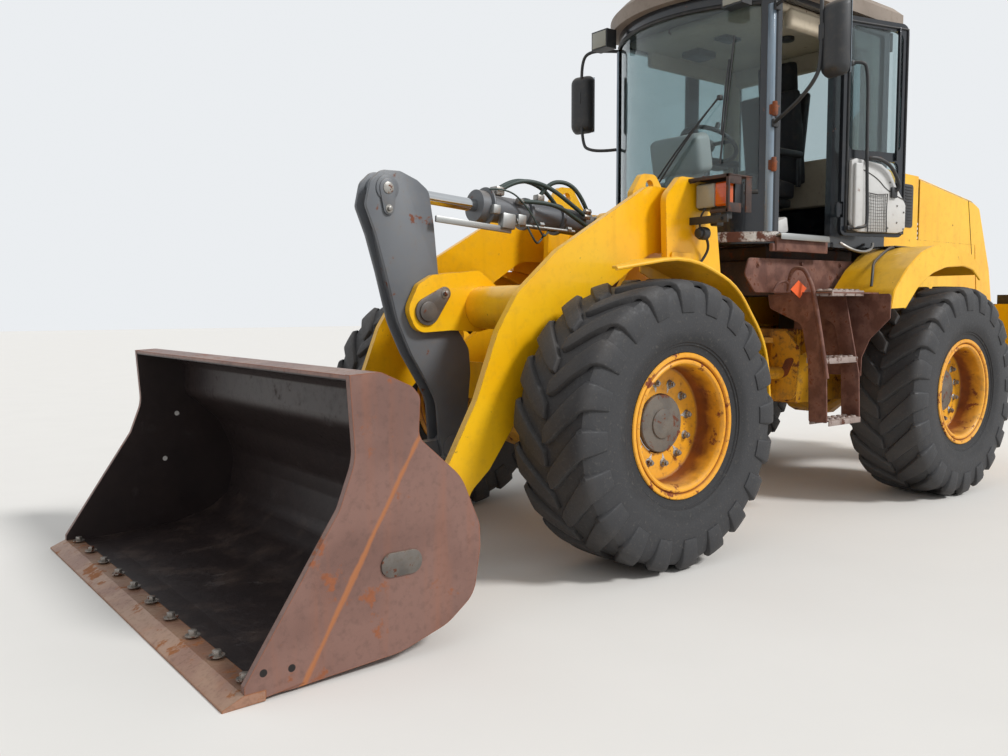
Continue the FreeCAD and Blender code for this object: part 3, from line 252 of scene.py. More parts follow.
def bucketSteel(name):
    # Digging steel of the bucket: brown outside, and black-brown inside, where the darkness is painted shade;
    # a rust line with a painted highlight along the step at the edge of the side cutter; drilled holes
    # painted dark as shade and pale as light seen through.
    look = bucketCoat
    material = weathered(name, "#6f5148", "#7d5d53", patch=350, grain=30, spot=170, rustShare=0.16,
                         edgeShare=0.8,
                         edge=8, dustShare=0.2, grimeShare=0.35, smooth=0.42, rough=0.75, metal=0.15,
                         grime="#4d3932",
                         rust="#9c5c38", deepRust="#6e402b", streak=0.2)
    tree = material.node_tree
    shader = tree.nodes["Principled BSDF"]
    place = addNode(tree, "TexCoord")
    at = place.outputs["Object"]
    axes = addNode(tree, "SeparateXYZ", {0: at}).outputs
    facing = addNode(tree, "SeparateXYZ", {0: place.outputs["Normal"]}).outputs
    side = reckon(tree, "ABSOLUTE", axes[1])
    up = ramp(tree, facing[2], 0.3, 0.4)
    cheek = ramp(tree, reckon(tree, "ABSOLUTE", facing[1]), 0.4, 0.5)
    cheek = reckon(tree, "MULTIPLY", cheek, ramp(tree, side, 1.1, 1.15))
    # the bucket's inside, darkened below as painted shade
    shadedInside = reckon(tree, "MAXIMUM", ramp(tree, facing[0], 0.02, 0.1), up)
    shadedInside = reckon(tree, "MAXIMUM", shadedInside, cheek)
    for axis, first, last in ((side, 1.243, 1.24), (axes[2], 1.052, 1.048)):
        shadedInside = reckon(tree, "MULTIPLY", shadedInside, ramp(tree, axis, first, last))
    cloud = noise(tree, at, 6.0, 8.0, 0.62)
    # near-black tones over the inside of the bucket: painted shade
    maskOver(tree, shader, shadedInside, blend(tree, cloud, "#1b1517", "#3a2e2b"))
    dust = reckon(tree, "MULTIPLY", ramp(tree, cloud, 0.52, 0.7, 0.35), up)
    maskOver(tree, shader, reckon(tree, "MULTIPLY", dust, shadedInside), "#6a5a50")
    # A thin orange band along the sloping edge of the side cutter marks the step of the wear plate: rust on
    # the weld seam, with a painted highlight standing in for the light on the step.
    away = reckon(tree, "SUBTRACT", vectors(tree, "DOT_PRODUCT", at, look["slope"]), look["slopeAway"])
    away = reckon(tree, "MULTIPLY_ADD", cloud, -0.03, reckon(tree, "ABSOLUTE", away))
    seamRustAndHighlight = reckon(tree, "MULTIPLY", ramp(tree, away, 0.0, -0.009, 0.85), ramp(tree, side, 1.25, 1.258))
    seamRustAndHighlight = reckon(tree, "MULTIPLY", seamRustAndHighlight, ramp(tree, axes[2], 0.84, 0.82))
    maskOver(tree, shader, seamRustAndHighlight, "#a5673c")
    # Holes painted on the cheeks: dark discs as painted shade looking into the bucket, pale discs as painted
    # light seen through the far cheek.
    for *middle, tone in look["holes"]:
        maskOver(tree, shader, ramp(tree, vectors(tree, "DISTANCE", at, middle), *look["hole"]), tone)
    return material


def roundHub(tree, centreX):
    # place on the object, place across it and distance from the wheel's middle
    at = addNode(tree, "TexCoord").outputs["Object"]
    local = addNode(tree, "Mapping", {0: at, 1: (-centreX, 0.0, -tyreRadius)})
    axes = addNode(tree, "SeparateXYZ", {0: local.outputs[0]}).outputs
    flat = addNode(tree, "CombineXYZ", {0: axes[0], 2: axes[2]}).outputs[0]
    return at, axes[1], vectors(tree, "LENGTH", flat)


def tyreRubber(name, centreX):
    # Tyre rubber: dark grey, browned by clay on the tread, pale scuffs on the
    # lugs, and a blacker washed band next to the rim.
    material, tree, shader = startMaterial(name)
    at, _, radius = roundHub(tree, centreX)
    broad = noise(tree, at, 5.0, 6.0)
    fine = noise(tree, at, 55.0, 8.0, 0.7)
    wave = reckon(tree, "MULTIPLY_ADD", broad, 0.09, radius)
    colour = blend(tree, ramp(tree, wave, 0.47, 0.53, kind="SMOOTHSTEP"), "#1e1e20", "#2d2d2f")
    clay = reckon(tree, "MULTIPLY", ramp(tree, wave, 0.68, 0.8, 0.45), broad)
    colour = blend(tree, clay, colour, "#5e554c")
    colour = blend(tree, ramp(tree, fine, 0.55, 0.74, 0.4), colour, "#75716b")
    wire(tree, shader, Base_Color=colour, Roughness=ramp(tree, fine, 0.3, 0.7, 0.85, 0.5),
         Normal=bumped(tree, fine, 0.002, 0.7))
    return material


def plainGloss(name, colour, **sockets):
    # One tone with slight unevenness in its gloss.
    material, tree, shader = startMaterial(name, **sockets)
    smear = noise(tree, addNode(tree, "TexCoord").outputs["Object"], 9.0, 4.0)
    rough = shader.inputs["Roughness"].default_value
    wire(tree, shader, Base_Color=blend(tree, smear, *colour),
         Roughness=ramp(tree, smear, high=rough * 1.4, low=rough * 0.7))
    return material


# Hard chrome on the cylinder rods.
hardChrome = plainGloss("hardChrome", ("#b9bbbd", "#c9cbcc"), Metallic=1.0, Roughness=0.12)
# Silvered glass of the mirrors.
mirrorGlass = plainGloss("mirrorGlass", ("#a9b2ba", "#b6bec5"), Metallic=1.0, Roughness=0.05)
# Tempered cab glass with a blue-green body tint and a film of dust.
cabGlass = plainGloss("cabGlass", ("#b2c4c6", "#bbcacc"), Transmission_Weight=0.97, Roughness=0.04, IOR=1.45)
# Clear ribbed lamp glass.
lampGlass = plainGloss("lampGlass", ("#d6d4c4", "#c4c2b4"), Transmission_Weight=0.55, Roughness=0.12,
                       IOR=1.49)
# Amber acrylic of the turn lamps.
amberLens = plainGloss("amberLens", ("#e6640f", "#d0540c"), Transmission_Weight=0.25, Roughness=0.15,
                       IOR=1.49,
                       Coat_Weight=0.5)
# Red acrylic of the tail lamps.
redLens = plainGloss("redLens", ("#a3140f", "#8f100c"), Transmission_Weight=0.2, Roughness=0.15, IOR=1.49,
                     Coat_Weight=0.5)
# Wire-braid hydraulic hose with a matt black-green cover.
hoseRubber = plainGloss("hoseRubber", ("#24332f", "#33413c"), Roughness=0.55)
# Pale cast aluminium fittings.
castAluminium = plainGloss("castAluminium", ("#a9aaa8", "#8d8e8c"), Metallic=0.8, Roughness=0.42)
# Enamel on the fender sheets: cleaner, with drips of rust under the lips.
fenderEnamel = weathered("fenderEnamel", "#e9ac10", "#f0b920", rustShare=0.0, edgeShare=0.35, edge=4, spot=60,
                         dustShare=0.25, grimeShare=0.2, smooth=0.35, coat=0.1, streak=0.14, grime="#a9742a")
# Forged steel of pin keepers and pads, oiled dark over brown scale.
keeperSteel = weathered("keeperSteel", "#55504c", "#67615b", patch=90, grain=14, spot=50, rustShare=0.3,
                        edgeShare=0.5,
                        edge=4, smooth=0.4, metal=0.3, peel=1.5, peelDepth=0.0006)
# Nuts of the cutting edge, ground bright on top by the load.
edgeSteel = weathered("edgeSteel", "#8b8680", "#a39d96", patch=40, grain=8, spot=40, rustShare=0.4,
                      smooth=0.35, metal=0.6,
                      peel=1.0, peelDepth=0.0004)
# Orange tag card.
tagPaper = plainGloss("tagPaper", ("#e8622a", "#df5820"), Roughness=0.6)
print("stage: materials made,", len(bpy.data.materials))


# Tools for modelling

def clearPick():
    if bpy.context.mode != "OBJECT":
        bpy.ops.object.mode_set(mode="OBJECT")
    bpy.ops.object.select_all(action="DESELECT")


def pick(*pieces):
    clearPick()
    for piece in pieces:
        piece.select_set(True)
    bpy.context.view_layer.objects.active = pieces[0]


def edit(piece, chooser=None, mode="FACE"):
    # Opens the piece in edit mode with only what the chooser takes selected.
    pick(piece)
    bpy.ops.object.mode_set(mode="EDIT")
    bpy.ops.mesh.select_mode(type=mode)
    bpy.ops.mesh.select_all(action="SELECT" if chooser is None else "DESELECT")
    if chooser:
        mesh = bmesh.from_edit_mesh(piece.data)
        for part in {"FACE": mesh.faces, "EDGE": mesh.edges, "VERT": mesh.verts}[mode]:
            part.select_set(bool(chooser(part)))
        bmesh.update_edit_mesh(piece.data)


def close():
    bpy.ops.object.mode_set(mode="OBJECT")


def modify(piece, kind, **settings):
    pick(piece)
    modifier = piece.modifiers.new(kind, kind)
    for key, value in settings.items():
        setattr(modifier, key, value)
    bpy.ops.object.modifier_apply(modifier=modifier.name)


def settle(piece):
    pick(piece)
    bpy.ops.object.transform_apply(location=True, rotation=True, scale=True)
    return piece


def bevelled(piece, width, segments=2, angle=35):
    settle(piece)
    modify(piece, "BEVEL", width=width, segments=segments, limit_method="ANGLE",
           angle_limit=math.radians(angle))
    return piece


def block(size, at, turn=upright, bevel=0.0, segments=2):
    clearPick()
    bpy.ops.mesh.primitive_cube_add(size=1, location=at, rotation=turn)
    piece = bpy.context.object
    piece.scale = size
    settle(piece)
    return bevelled(piece, bevel, segments) if bevel else piece


def drum(radius, depth, at, turn=upright, sides=32, top=None, bevel=0.0):
    clearPick()
    bpy.ops.mesh.primitive_cone_add(vertices=sides, radius1=radius, radius2=radius if top is None else top,
                                    depth=depth, location=at, rotation=turn)
    piece = settle(bpy.context.object)
    return bevelled(piece, bevel, 2) if bevel else piece


def traced(rows):
    # A run of corners drawn out from one vertex by extruding.
    clearPick()
    bpy.ops.mesh.primitive_plane_add(size=0.01, location=(0, 0, 0))
    piece = bpy.context.object
    bpy.ops.object.mode_set(mode="EDIT")
    bpy.ops.mesh.select_mode(type="VERT")
    bpy.ops.mesh.select_all(action="SELECT")
    bpy.ops.mesh.merge(type="CENTER")
    bpy.ops.transform.translate(value=rows[0])
    for a, b in zip(rows, rows[1:]):
        extruded([v - u for u, v in zip(a, b)])
    bpy.ops.mesh.select_all(action="SELECT")
    return piece


def turned(rows, at=(0, 0, 0), turn=upright, steps=48):
    # rows: radius, then place along the axis
    piece = traced([(r, 0, s) for r, s in rows])
    bpy.ops.mesh.spin(steps=steps, angle=2 * math.pi, center=(0, 0, 0), axis=(0, 0, 1))
    bpy.ops.mesh.select_all(action="SELECT")
    bpy.ops.mesh.remove_doubles(threshold=1e-5)
    bpy.ops.mesh.normals_make_consistent(inside=False)
    close()
    piece.rotation_euler = turn
    piece.location = at
    return settle(piece)


def facedOut(piece):
    edit(piece)
    bpy.ops.mesh.normals_make_consistent(inside=False)
    close()


def thickened(piece, thick, bevel=0.0, segments=2):
    # Gives an open sheet its thickness, half of it each way.
    modify(piece, "SOLIDIFY", thickness=thick, offset=0.0)
    facedOut(piece)
    return bevelled(piece, bevel, segments) if bevel else settle(piece)


def extruded(move):
    bpy.ops.mesh.extrude_region_move(TRANSFORM_OT_translate={"value": move})


def sunk(piece, chooser, border, move):
    # Insets the chosen face and pushes it in.
    edit(piece, chooser)
    bpy.ops.mesh.inset(thickness=border)
    extruded(move)
    close()


def sheetOf(rows, thick, bevel=0.0):
    # rows: corners in space of a flat outline, which gets the thickness both ways
    piece = traced([tuple(r) for r in rows])
    bpy.ops.mesh.edge_face_add()
    close()
    return thickened(piece, thick, bevel)


def tube(points, radius, sides=8, smooth=True, ends=True):
    # A pipe or hose along the points.
    curve = bpy.data.curves.new("run", "CURVE")
    curve.dimensions = "3D"
    curve.bevel_depth = radius
    curve.bevel_resolution = max(0, sides // 2 - 2)
    curve.use_fill_caps = ends
    spline = curve.splines.new("NURBS" if smooth else "POLY")
    spline.points.add(len(points) - 1)
    for point, p in zip(spline.points, points):
        point.co = (*p, 1)
    if smooth:
        spline.order_u = 3
        spline.use_endpoint_u = True
        curve.resolution_u = 8
    piece = bpy.data.objects.new("run", curve)
    bpy.context.scene.collection.objects.link(piece)
    pick(piece)
    bpy.ops.object.convert(target="MESH")
    return bpy.context.object


def copied(piece, matrix):
    twin = piece.copy()
    twin.data = piece.data.copy()
    bpy.context.scene.collection.objects.link(twin)
    twin.data.transform(matrix)
    if matrix.determinant() < 0:
        twin.data.flip_normals()
    return twin


def joined(pieces):
    pick(*pieces)
    bpy.ops.object.join()
    return bpy.context.object


def dropped(piece):
    bpy.data.objects.remove(piece)


def finished(piece, name, body, material, smooth=32):
    pick(piece)
    bpy.ops.object.shade_smooth_by_angle(angle=math.radians(smooth))
    piece.name = name
    piece.data.name = name
    piece.data.materials.clear()
    piece.data.materials.append(material)
    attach(piece, body)
    return piece


def spot(x, y, z):
    return Vector((x + steerPin, y, z))


def mirrored(piece):
    return copied(piece, Matrix.Scale(-1, 4, (0, 1, 0)))


# Camera, light and floor

cameraLook = {"at": (4.779, 4.0157, 1.2894), "yaw": -127.92, "pitch": -4.38, "roll": 0.17, "focal": 894.85,
              "width": 1008}


def makeCamera():
    look = cameraLook
    data = bpy.data.cameras.new("camera")
    data.sensor_width = 36
    data.lens = look["focal"] / look["width"] * data.sensor_width
    camera = bpy.data.objects.new("camera", data)
    bpy.context.scene.collection.objects.link(camera)
    yaw, pitch = math.radians(look["yaw"]), math.radians(look["pitch"])
    ahead = Vector((math.cos(pitch) * math.cos(yaw), math.cos(pitch) * math.sin(yaw), math.sin(pitch)))
    camera.rotation_mode = "QUATERNION"
    turn = ahead.to_track_quat("-Z", "Y")
    camera.rotation_quaternion = Matrix.Rotation(math.radians(look["roll"]), 3, ahead).to_quaternion() @ turn
    camera.location = spot(*look["at"])
    bpy.context.scene.camera = camera


stageLook = {"floor": ("#d9d6d1", "#dedbd6"), "sky": "#eef1f4", "sun": 2.6, "sunFrom": (-0.45, 0.9, 0.85),
             "fill": 0.75,
             "seen": 0.97, "floorSize": 120}


def makeStage():
    look = stageLook
    scene = bpy.context.scene
    scene.view_settings.view_transform = "Standard"
    world = bpy.data.worlds.new("studio")
    scene.world = world
    world.use_nodes = True
    tree = world.node_tree
    back = tree.nodes["Background"]
    back.inputs[0].default_value = linear(look["sky"])
    ray = addNode(tree, "LightPath")
    seen = reckon(tree, "MAXIMUM", ray.outputs["Is Camera Ray"], ray.outputs["Is Transmission Ray"])
    seen = reckon(tree, "MAXIMUM", seen, ray.outputs["Is Glossy Ray"])
    tree.links.new(ramp(tree, seen, high=look["seen"], low=look["fill"]), back.inputs[1])
    light = bpy.data.lights.new("key", "SUN")
    light.energy = look["sun"]
    light.angle = math.radians(12)
    key = bpy.data.objects.new("key", light)
    scene.collection.objects.link(key)
    key.rotation_mode = "QUATERNION"
    key.rotation_quaternion = (-Vector(look["sunFrom"])).to_track_quat("-Z", "Y")
    clearPick()
    bpy.ops.mesh.primitive_plane_add(size=look["floorSize"], location=(0, 0, 0))
    floor = bpy.context.object
    floor.name = "studioFloor"
    # Pale seamless floor paper with a faint grain.
    material, tree, shader = startMaterial("floorPaper", Roughness=0.9)
    grain = noise(tree, addNode(tree, "TexCoord").outputs["Object"], 2.0, 6.0)
    wire(tree, shader, Base_Color=blend(tree, grain, *look["floor"]))
    floor.data.materials.append(material)


makeCamera()
makeStage()
print("stage: camera, light and floor")


# Finishes of the CAD pieces that show as they are

nodeFinish = {
    "front_axle": muddyEnamel, "rear_axle": muddyEnamel, "front_frame": yellowEnamel,
    "front_fenders": yellowEnamel,
    "headlights": blackPlastic, "boom": yellowEnamel, "lever": greyEnamel, "link": greyEnamel,
    "bucket": bucketSteel("bucketSteel"), "cutting_edge": edgePlate, "tilt_barrel": greyEnamel,
    "tilt_rod": hardChrome,
    "lift_barrels": yellowEnamel, "lift_rods": hardChrome, "steer_barrel_left": muddyEnamel,
    "steer_barrel_right": muddyEnamel, "steer_rod_left": hardChrome, "steer_rod_right": hardChrome,
    "rear_frame": muddyEnamel, "transmission": engineIron, "engine_block": engineIron,
    "counterweight": yellowEnamel, "hood": yellowEnamel, "engine_covers": yellowEnamel,
    "rear_grille": blackPlastic,
    "exhaust_stack": beigeTrim, "cab_frame": blackGloss, "cab_windows": cabGlass, "cab_roof": roofMoulding,
    "cab_base": claySteel, "seat": blackPlastic, "cab_controls": greyPlastic, "door_frame": blackGloss,
    "door_glass": cabGlass, "rear_fenders": yellowEnamel, "platforms": claySteel, "ladders": claySteel,
    "mirrors": blackPlastic, "lamps": blackPlastic,
}
for node, material in nodeFinish.items():
    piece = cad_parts[node]
    piece.data.materials.clear()
    piece.data.materials.append(material)
print("stage: CAD finishes")


# Wheels. The tyre's cross-section goes from the tread's middle to the bead;
# one lug is shaped as a block and laid on it, then repeated round each half.

tyreLook = {
    "lugs": 20, "steps": 80,
    # place across, radius
    "section": ((0.0, 0.694), (0.1, 0.692), (0.18, 0.688), (0.219, 0.676), (0.238, 0.652), (0.247, 0.612),
                (0.2525, 0.565), (0.255, 0.515), (0.2535, 0.475), (0.2475, 0.437), (0.2375, 0.41),
                (0.2315, 0.4065), (0.2305, 0.398), (0.2245, 0.394), (0.2215, 0.38), (0.2195, 0.369),
                (0.2195, 0.362), (0.16, 0.362)),
    # share of the lug's run, place across, radius, sweep in degrees, half width in degrees
    "lug": ((0.0, -0.004, 0.7195, -0.6, 2.4), (0.1, 0.02, 0.72, 0.6, 3.7), (0.25, 0.065, 0.72, 3.6, 4.1),
            (0.45, 0.13, 0.7185, 8.6, 4.4), (0.62, 0.19, 0.7145, 12.9, 4.8), (0.73, 0.222, 0.708, 15.0, 5.0),
            (0.8, 0.244, 0.69, 15.9, 4.9), (0.87, 0.2565, 0.655, 16.2, 4.8),
            (0.94, 0.2597, 0.6, 16.2, 4.6),
            (1.0, 0.2597, 0.553, 16.2, 4.4)),
    "cells": 14, "root": 0.034, "flare": 1.3, "bevel": 0.005, "wear": 0.003,
}


def between(rows, t):
    for a, b in zip(rows, rows[1:]):
        if t <= b[0]:
            share = (t - a[0]) / (b[0] - a[0])
            return [u + share * (v - u) for u, v in zip(a, b)]
    return list(rows[-1])


def onWheel(radius, across, turn):
    # turn in degrees from the ground towards the front
    a = math.radians(turn)
    return Vector((radius * math.sin(a), across, -radius * math.cos(a)))


def makeLug(chance):
    look = tyreLook
    clearPick()
    bpy.ops.mesh.primitive_grid_add(x_subdivisions=look["cells"], y_subdivisions=3, size=1)
    lug = bpy.context.object
    edit(lug)
    extruded((0, 0, -1))
    close()
    facedOut(lug)
    lift = chance.uniform(-look["wear"], 0)
    for corner in lug.data.vertices:
        share, across, radius, sweep, half = between(look["lug"], corner.co.x + 0.5)
        below = corner.co.z < -0.5
        wide = 2 * corner.co.y * (half + (look["flare"] if below else 0))
        if below:
            lean = max(0.0, min(1.0, (share - 0.6) / 0.25))
            radius -= look["root"] * (1 - lean)
            across -= look["root"] * lean
        corner.co = onWheel(radius + lift * (1 - share), across, sweep + wide)
    bevelled(lug, look["bevel"], 2, 40)
    return lug


def makeTyre(seed):
    look = tyreLook
    chance = random.Random(seed)
    half = [(r, s) for s, r in look["section"]]
    rows = [(r, -s) for r, s in reversed(half[1:])] + half
    carcass = turned(rows, turn=outwards, steps=look["steps"])
    pitch = 2 * math.pi / look["lugs"]
    parts = [carcass]
    shapes = [makeLug(chance) for _ in range(3)]
    for side in (1, -1):
        for k in range(look["lugs"]):
            spin = Matrix.Rotation(-(k + (0 if side > 0 else 0.5)) * pitch, 4, "Y")
            flip = Matrix.Scale(side, 4, (0, 1, 0))
            parts.append(copied(chance.choice(shapes), spin @ flip))
    for shape in shapes:
        dropped(shape)
    return joined(parts)


rimLook = {
    "steps": 72,
    # radius, place across: the outer flange, the lock ring, the well, the disc
    "section": ((0.352, 0.2145), (0.3585, 0.2165), (0.3595, 0.222), (0.3555, 0.2265), (0.347, 0.2275),
                (0.3385, 0.2255), (0.3345, 0.2205), (0.3325, 0.2135), (0.3295, 0.2105), (0.3265, 0.2125),
                (0.3235, 0.2185), (0.3165, 0.2215), (0.3075, 0.2195), (0.3005, 0.2125), (0.2955, 0.2005),
                (0.2925, 0.18), (0.2905, 0.15), (0.2905, 0.075), (0.286, 0.064), (0.276, 0.06), (0.15, 0.06),
                (0.15, 0.038), (0.2905, 0.038), (0.2905, -0.205), (0.3145, -0.22), (0.3585, -0.2235),
                (0.3585, -0.2), (0.318, -0.199), (0.318, 0.198)),
    "nuts": 12, "nutCircle": 0.205, "nutSize": 0.0165, "marked": (0, 1, 2, 3, 4, 5, 7, 9, 10),
    "mark": ((-0.016, 0.008), (0.016, 0.008), (0.012, -0.024), (0.003, -0.05)),
    "hub": ((0.0, 0.0915), (0.03, 0.092), (0.066, 0.0915), (0.0735, 0.089), (0.075, 0.084), (0.0755, 0.0825),
            (0.083, 0.0815), (0.128, 0.0805), (0.1405, 0.079), (0.1445, 0.0745), (0.145, 0.058),
            (0.0, 0.058)),
}


def roundRim(piece, spin, places, lay=Matrix.Identity(4)):
    # Copies of a piece shaped at the wheel's top, on places of the nut circle.
    step = 2 * math.pi / rimLook["nuts"]
    out = [copied(piece, Matrix.Rotation(spin + k * step, 4, "Y") @ lay) for k in places]
    dropped(piece)
    return joined(out)


def makeNuts(spin):
    look = rimLook
    nut = drum(look["nutSize"], 0.021, (0, 0, 0.0105), sides=6)
    sunk(nut, lambda f: f.normal.z > 0.9, 0.004, (0, 0, -0.001))
    stud = drum(0.0095, 0.03, (0, 0, 0.016), sides=12, bevel=0.0015)
    cone = drum(0.0235, 0.006, (0, 0, 0.003), sides=20, top=0.018)
    lay = Matrix.Translation((0, 0.06, look["nutCircle"])) @ Matrix.Rotation(-math.pi / 2, 4, "X")
    return roundRim(joined([nut, stud, cone]), spin, range(look["nuts"]), lay)


def makeMarks(spin):
    # Pale wedges painted on the disc, one behind each marked nut.
    reach = rimLook["nutCircle"]
    wedge = sheetOf([(u, 0.0604, reach + v) for u, v in rimLook["mark"]], 0.0008)
    return roundRim(wedge, spin, rimLook["marked"])


def rimBarrelRust(name, centreX):
    # Rim enamel that turns to dark rust towards the bottom of the well, with a
    # rust line in the groove of the flange.
    material = weathered(name, "#e0991a", "#e8a62c", rustShare=0.28, edgeShare=0.5, edge=4, dustShare=0.35,
                         grimeShare=0.35, rust="#8c3c10")
    tree = material.node_tree
    shader = tree.nodes["Principled BSDF"]
    at, side, radius = roundHub(tree, centreX)
    cloud = noise(tree, at, 14.0, 8.0)
    deep = reckon(tree, "MULTIPLY_ADD", cloud, 0.12, reckon(tree, "ABSOLUTE", side))
    well = reckon(tree, "MULTIPLY", ramp(tree, deep, trackHalf + 0.27, trackHalf + 0.17),
                  ramp(tree, radius, 0.272, 0.288))
    well = reckon(tree, "MULTIPLY", well, ramp(tree, radius, 0.305, 0.297))
    maskOver(tree, shader, well, blend(tree, cloud, "#4a2412", "#9c531c"))
    groove = reckon(tree, "ABSOLUTE", reckon(tree, "SUBTRACT", radius, 0.3295))
    maskOver(tree, shader, ramp(tree, groove, 0.006, 0.002, 0.85), "#7a3310")
    return material


def makeWheels():
    seed = 3
    for end, ahead in (("front", 1), ("rear", -1)):
        centreX = ahead * axle + steerPin
        rubber = tyreRubber(end + "TyreRubber", centreX)
        enamel = rimBarrelRust(end + "RimEnamel", centreX)
        for side, out in (("left", 1), ("right", -1)):
            seed += 1
            body = "wheel_" + end + "_" + side
            flip = Matrix.Scale(out, 4, (0, 1, 0))
            move = Matrix.Translation((centreX, out * trackHalf, tyreRadius)) @ flip
            section = rimLook["section"] + rimLook["section"][:1]
            pieces = [
                (makeTyre(seed), "tyre", rubber, "tyre_"),
                (turned(section, turn=outwards, steps=rimLook["steps"]), "rim", enamel, "rim_"),
                (turned(rimLook["hub"], turn=outwards), "hub", castIron, None),
                (makeNuts(0.3 * seed), "wheelNuts", zincSteel, None),
                (makeMarks(0.3 * seed), "torqueMarks", whiteStrip, None),
            ]
            for piece, name, material, node in pieces:
                piece.data.transform(move)
                if out < 0:
                    piece.data.flip_normals()
                finished(piece, name + end.capitalize() + side.capitalize(), body, material)
                if node:
                    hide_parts(node + end + "_" + side)


makeWheels()
print("stage: wheels")


# Small parts that come up again

def bolted(places, size, turn=upright):
    # Hex bolts on washers, their heads along the turned Z axis.
    head = drum(size, size * 1.1, (0, 0, size * 0.75), sides=6, bevel=size * 0.08)
    washer = drum(size * 1.7, size * 0.24, (0, 0, size * 0.12), sides=18)
    bolt = joined([head, washer])
    lean = Euler(turn).to_matrix().to_4x4()
    out = [copied(bolt, Matrix.Translation(place) @ lean) for place in places]
    dropped(bolt)
    return joined(out)


def flatXZ(rows, y, thick, bevel=0.0):
    return sheetOf([spot(x, y, z) for x, z in rows], thick, bevel)


def run(rows, radius, sides=8, smooth=True):
    return tube([spot(*row) for row in rows], radius, sides, smooth)


def slab(size, at, turn=upright, bevel=0.0, segments=2):
    return block(size, spot(*at), turn, bevel, segments)


def slabs(rows, **settings):
    # rows: size, place, then as needed turn, bevel and segments
    return [slab(*row, **settings) for row in rows]


def slabPairs(rows):
    # the same on both sides of the middle
    return [slab(size, (x, side * y, z), *more) for side in (-1, 1) for size, (x, y, z), *more in rows]


def shaft(radius, depth, at, turn=upright, sides=32, top=None, bevel=0.0):
    return drum(radius, depth, spot(*at), turn, sides, top, bevel)


def both(piece):
    return joined([piece, mirrored(piece)])


# The door is open: its pieces are shaped as if closed, then swung round the
# hinge. Rows go along the door from the hinge, outwards, up.

doorLook = {
    "hinge": (-0.56, 0.702), "open": 165.5,
    "panel": ((0.065, 2.246), (0.107, 2.262), (0.325, 2.236), (0.406, 2.19), (0.467, 2.085), (0.52, 2.02),
              (0.548, 1.98), (0.548, 1.83), (0.53, 1.803), (0.476, 1.79), (0.145, 1.79), (0.102, 1.803),
              (0.081, 1.83), (0.065, 1.87)),
    "net": (0.287, 1.917, 0.168, 0.252), "cells": (9, 12),
    "tube": ((0.055, -0.03, 2.86), (0.1, -0.075, 2.87), (0.155, -0.08, 2.83), (0.157, -0.08, 2.332),
             (0.178, -0.08, 1.86), (0.168, -0.08, 1.822), (0.1, -0.07, 1.812), (0.06, -0.04, 1.812)),
    "lever": ((0.184, -0.045, 2.25), (0.19, -0.08, 2.268), (0.277, -0.082, 2.262), (0.375, -0.08, 2.222),
              (0.44, -0.078, 2.135), (0.462, -0.078, 2.075), (0.43, -0.05, 2.06)),
    # a thin dark line along the crease of the lining, painted shade in the crease
    "creaseShadeLine": ((0.166, -0.0495, 2.19), (0.282, -0.0495, 2.152), (0.381, -0.0495, 2.058),
               (0.53, -0.0495, 2.012)),
    "hem": ((-1, 1), (0, 0.93), (1, 1), (0.93, 0), (1, -1), (0, -1.02), (-1, -1), (-0.93, 0), (-1, 1)),
    "blocks": (((0.05, 0.02, 0.07), (0.43, -0.055, 2.055)), ((0.03, 0.03, 0.03), (0.06, -0.035, 1.812)),
               ((0.03, 0.03, 0.03), (0.06, -0.035, 2.86))),
    "seal": ((0.05, 1.792), (0.05, 3.13), (0.55, 3.13), (0.55, 1.792), (0.05, 1.792)),
    "screws": ((0.47, 1.97), (0.47, 1.86), (0.4, 2.12), (0.2, 1.82), (0.39, 1.822), (0.53, 1.93),
               (0.53, 1.82)),
}


def makeNet(along, up, wide, high):
    # A net pocket: it bellies out, draws in at the middle and sags.
    clearPick()
    cells = doorLook["cells"]
    bpy.ops.mesh.primitive_grid_add(x_subdivisions=cells[0], y_subdivisions=cells[1], size=1)
    net = bpy.context.object
    net.scale = (wide, high, 1)
    net.rotation_euler = alongY
    settle(net)
    for corner in net.data.vertices:
        side = corner.co.x / wide
        drop = 0.5 - corner.co.z / high
        corner.co.y = -0.066 + 0.012 * (2 * side) ** 2 - 0.008 * drop
        corner.co.x *= 1 - 0.05 * math.sin(math.pi * drop)
        corner.co.z -= 0.012 * (1 - (2 * side) ** 2) * (1 - drop)
    modify(net, "WIREFRAME", thickness=0.0032, use_replace=True, use_even_offset=False)
    net.data.transform(Matrix.Translation((along, 0, up)))
    return net


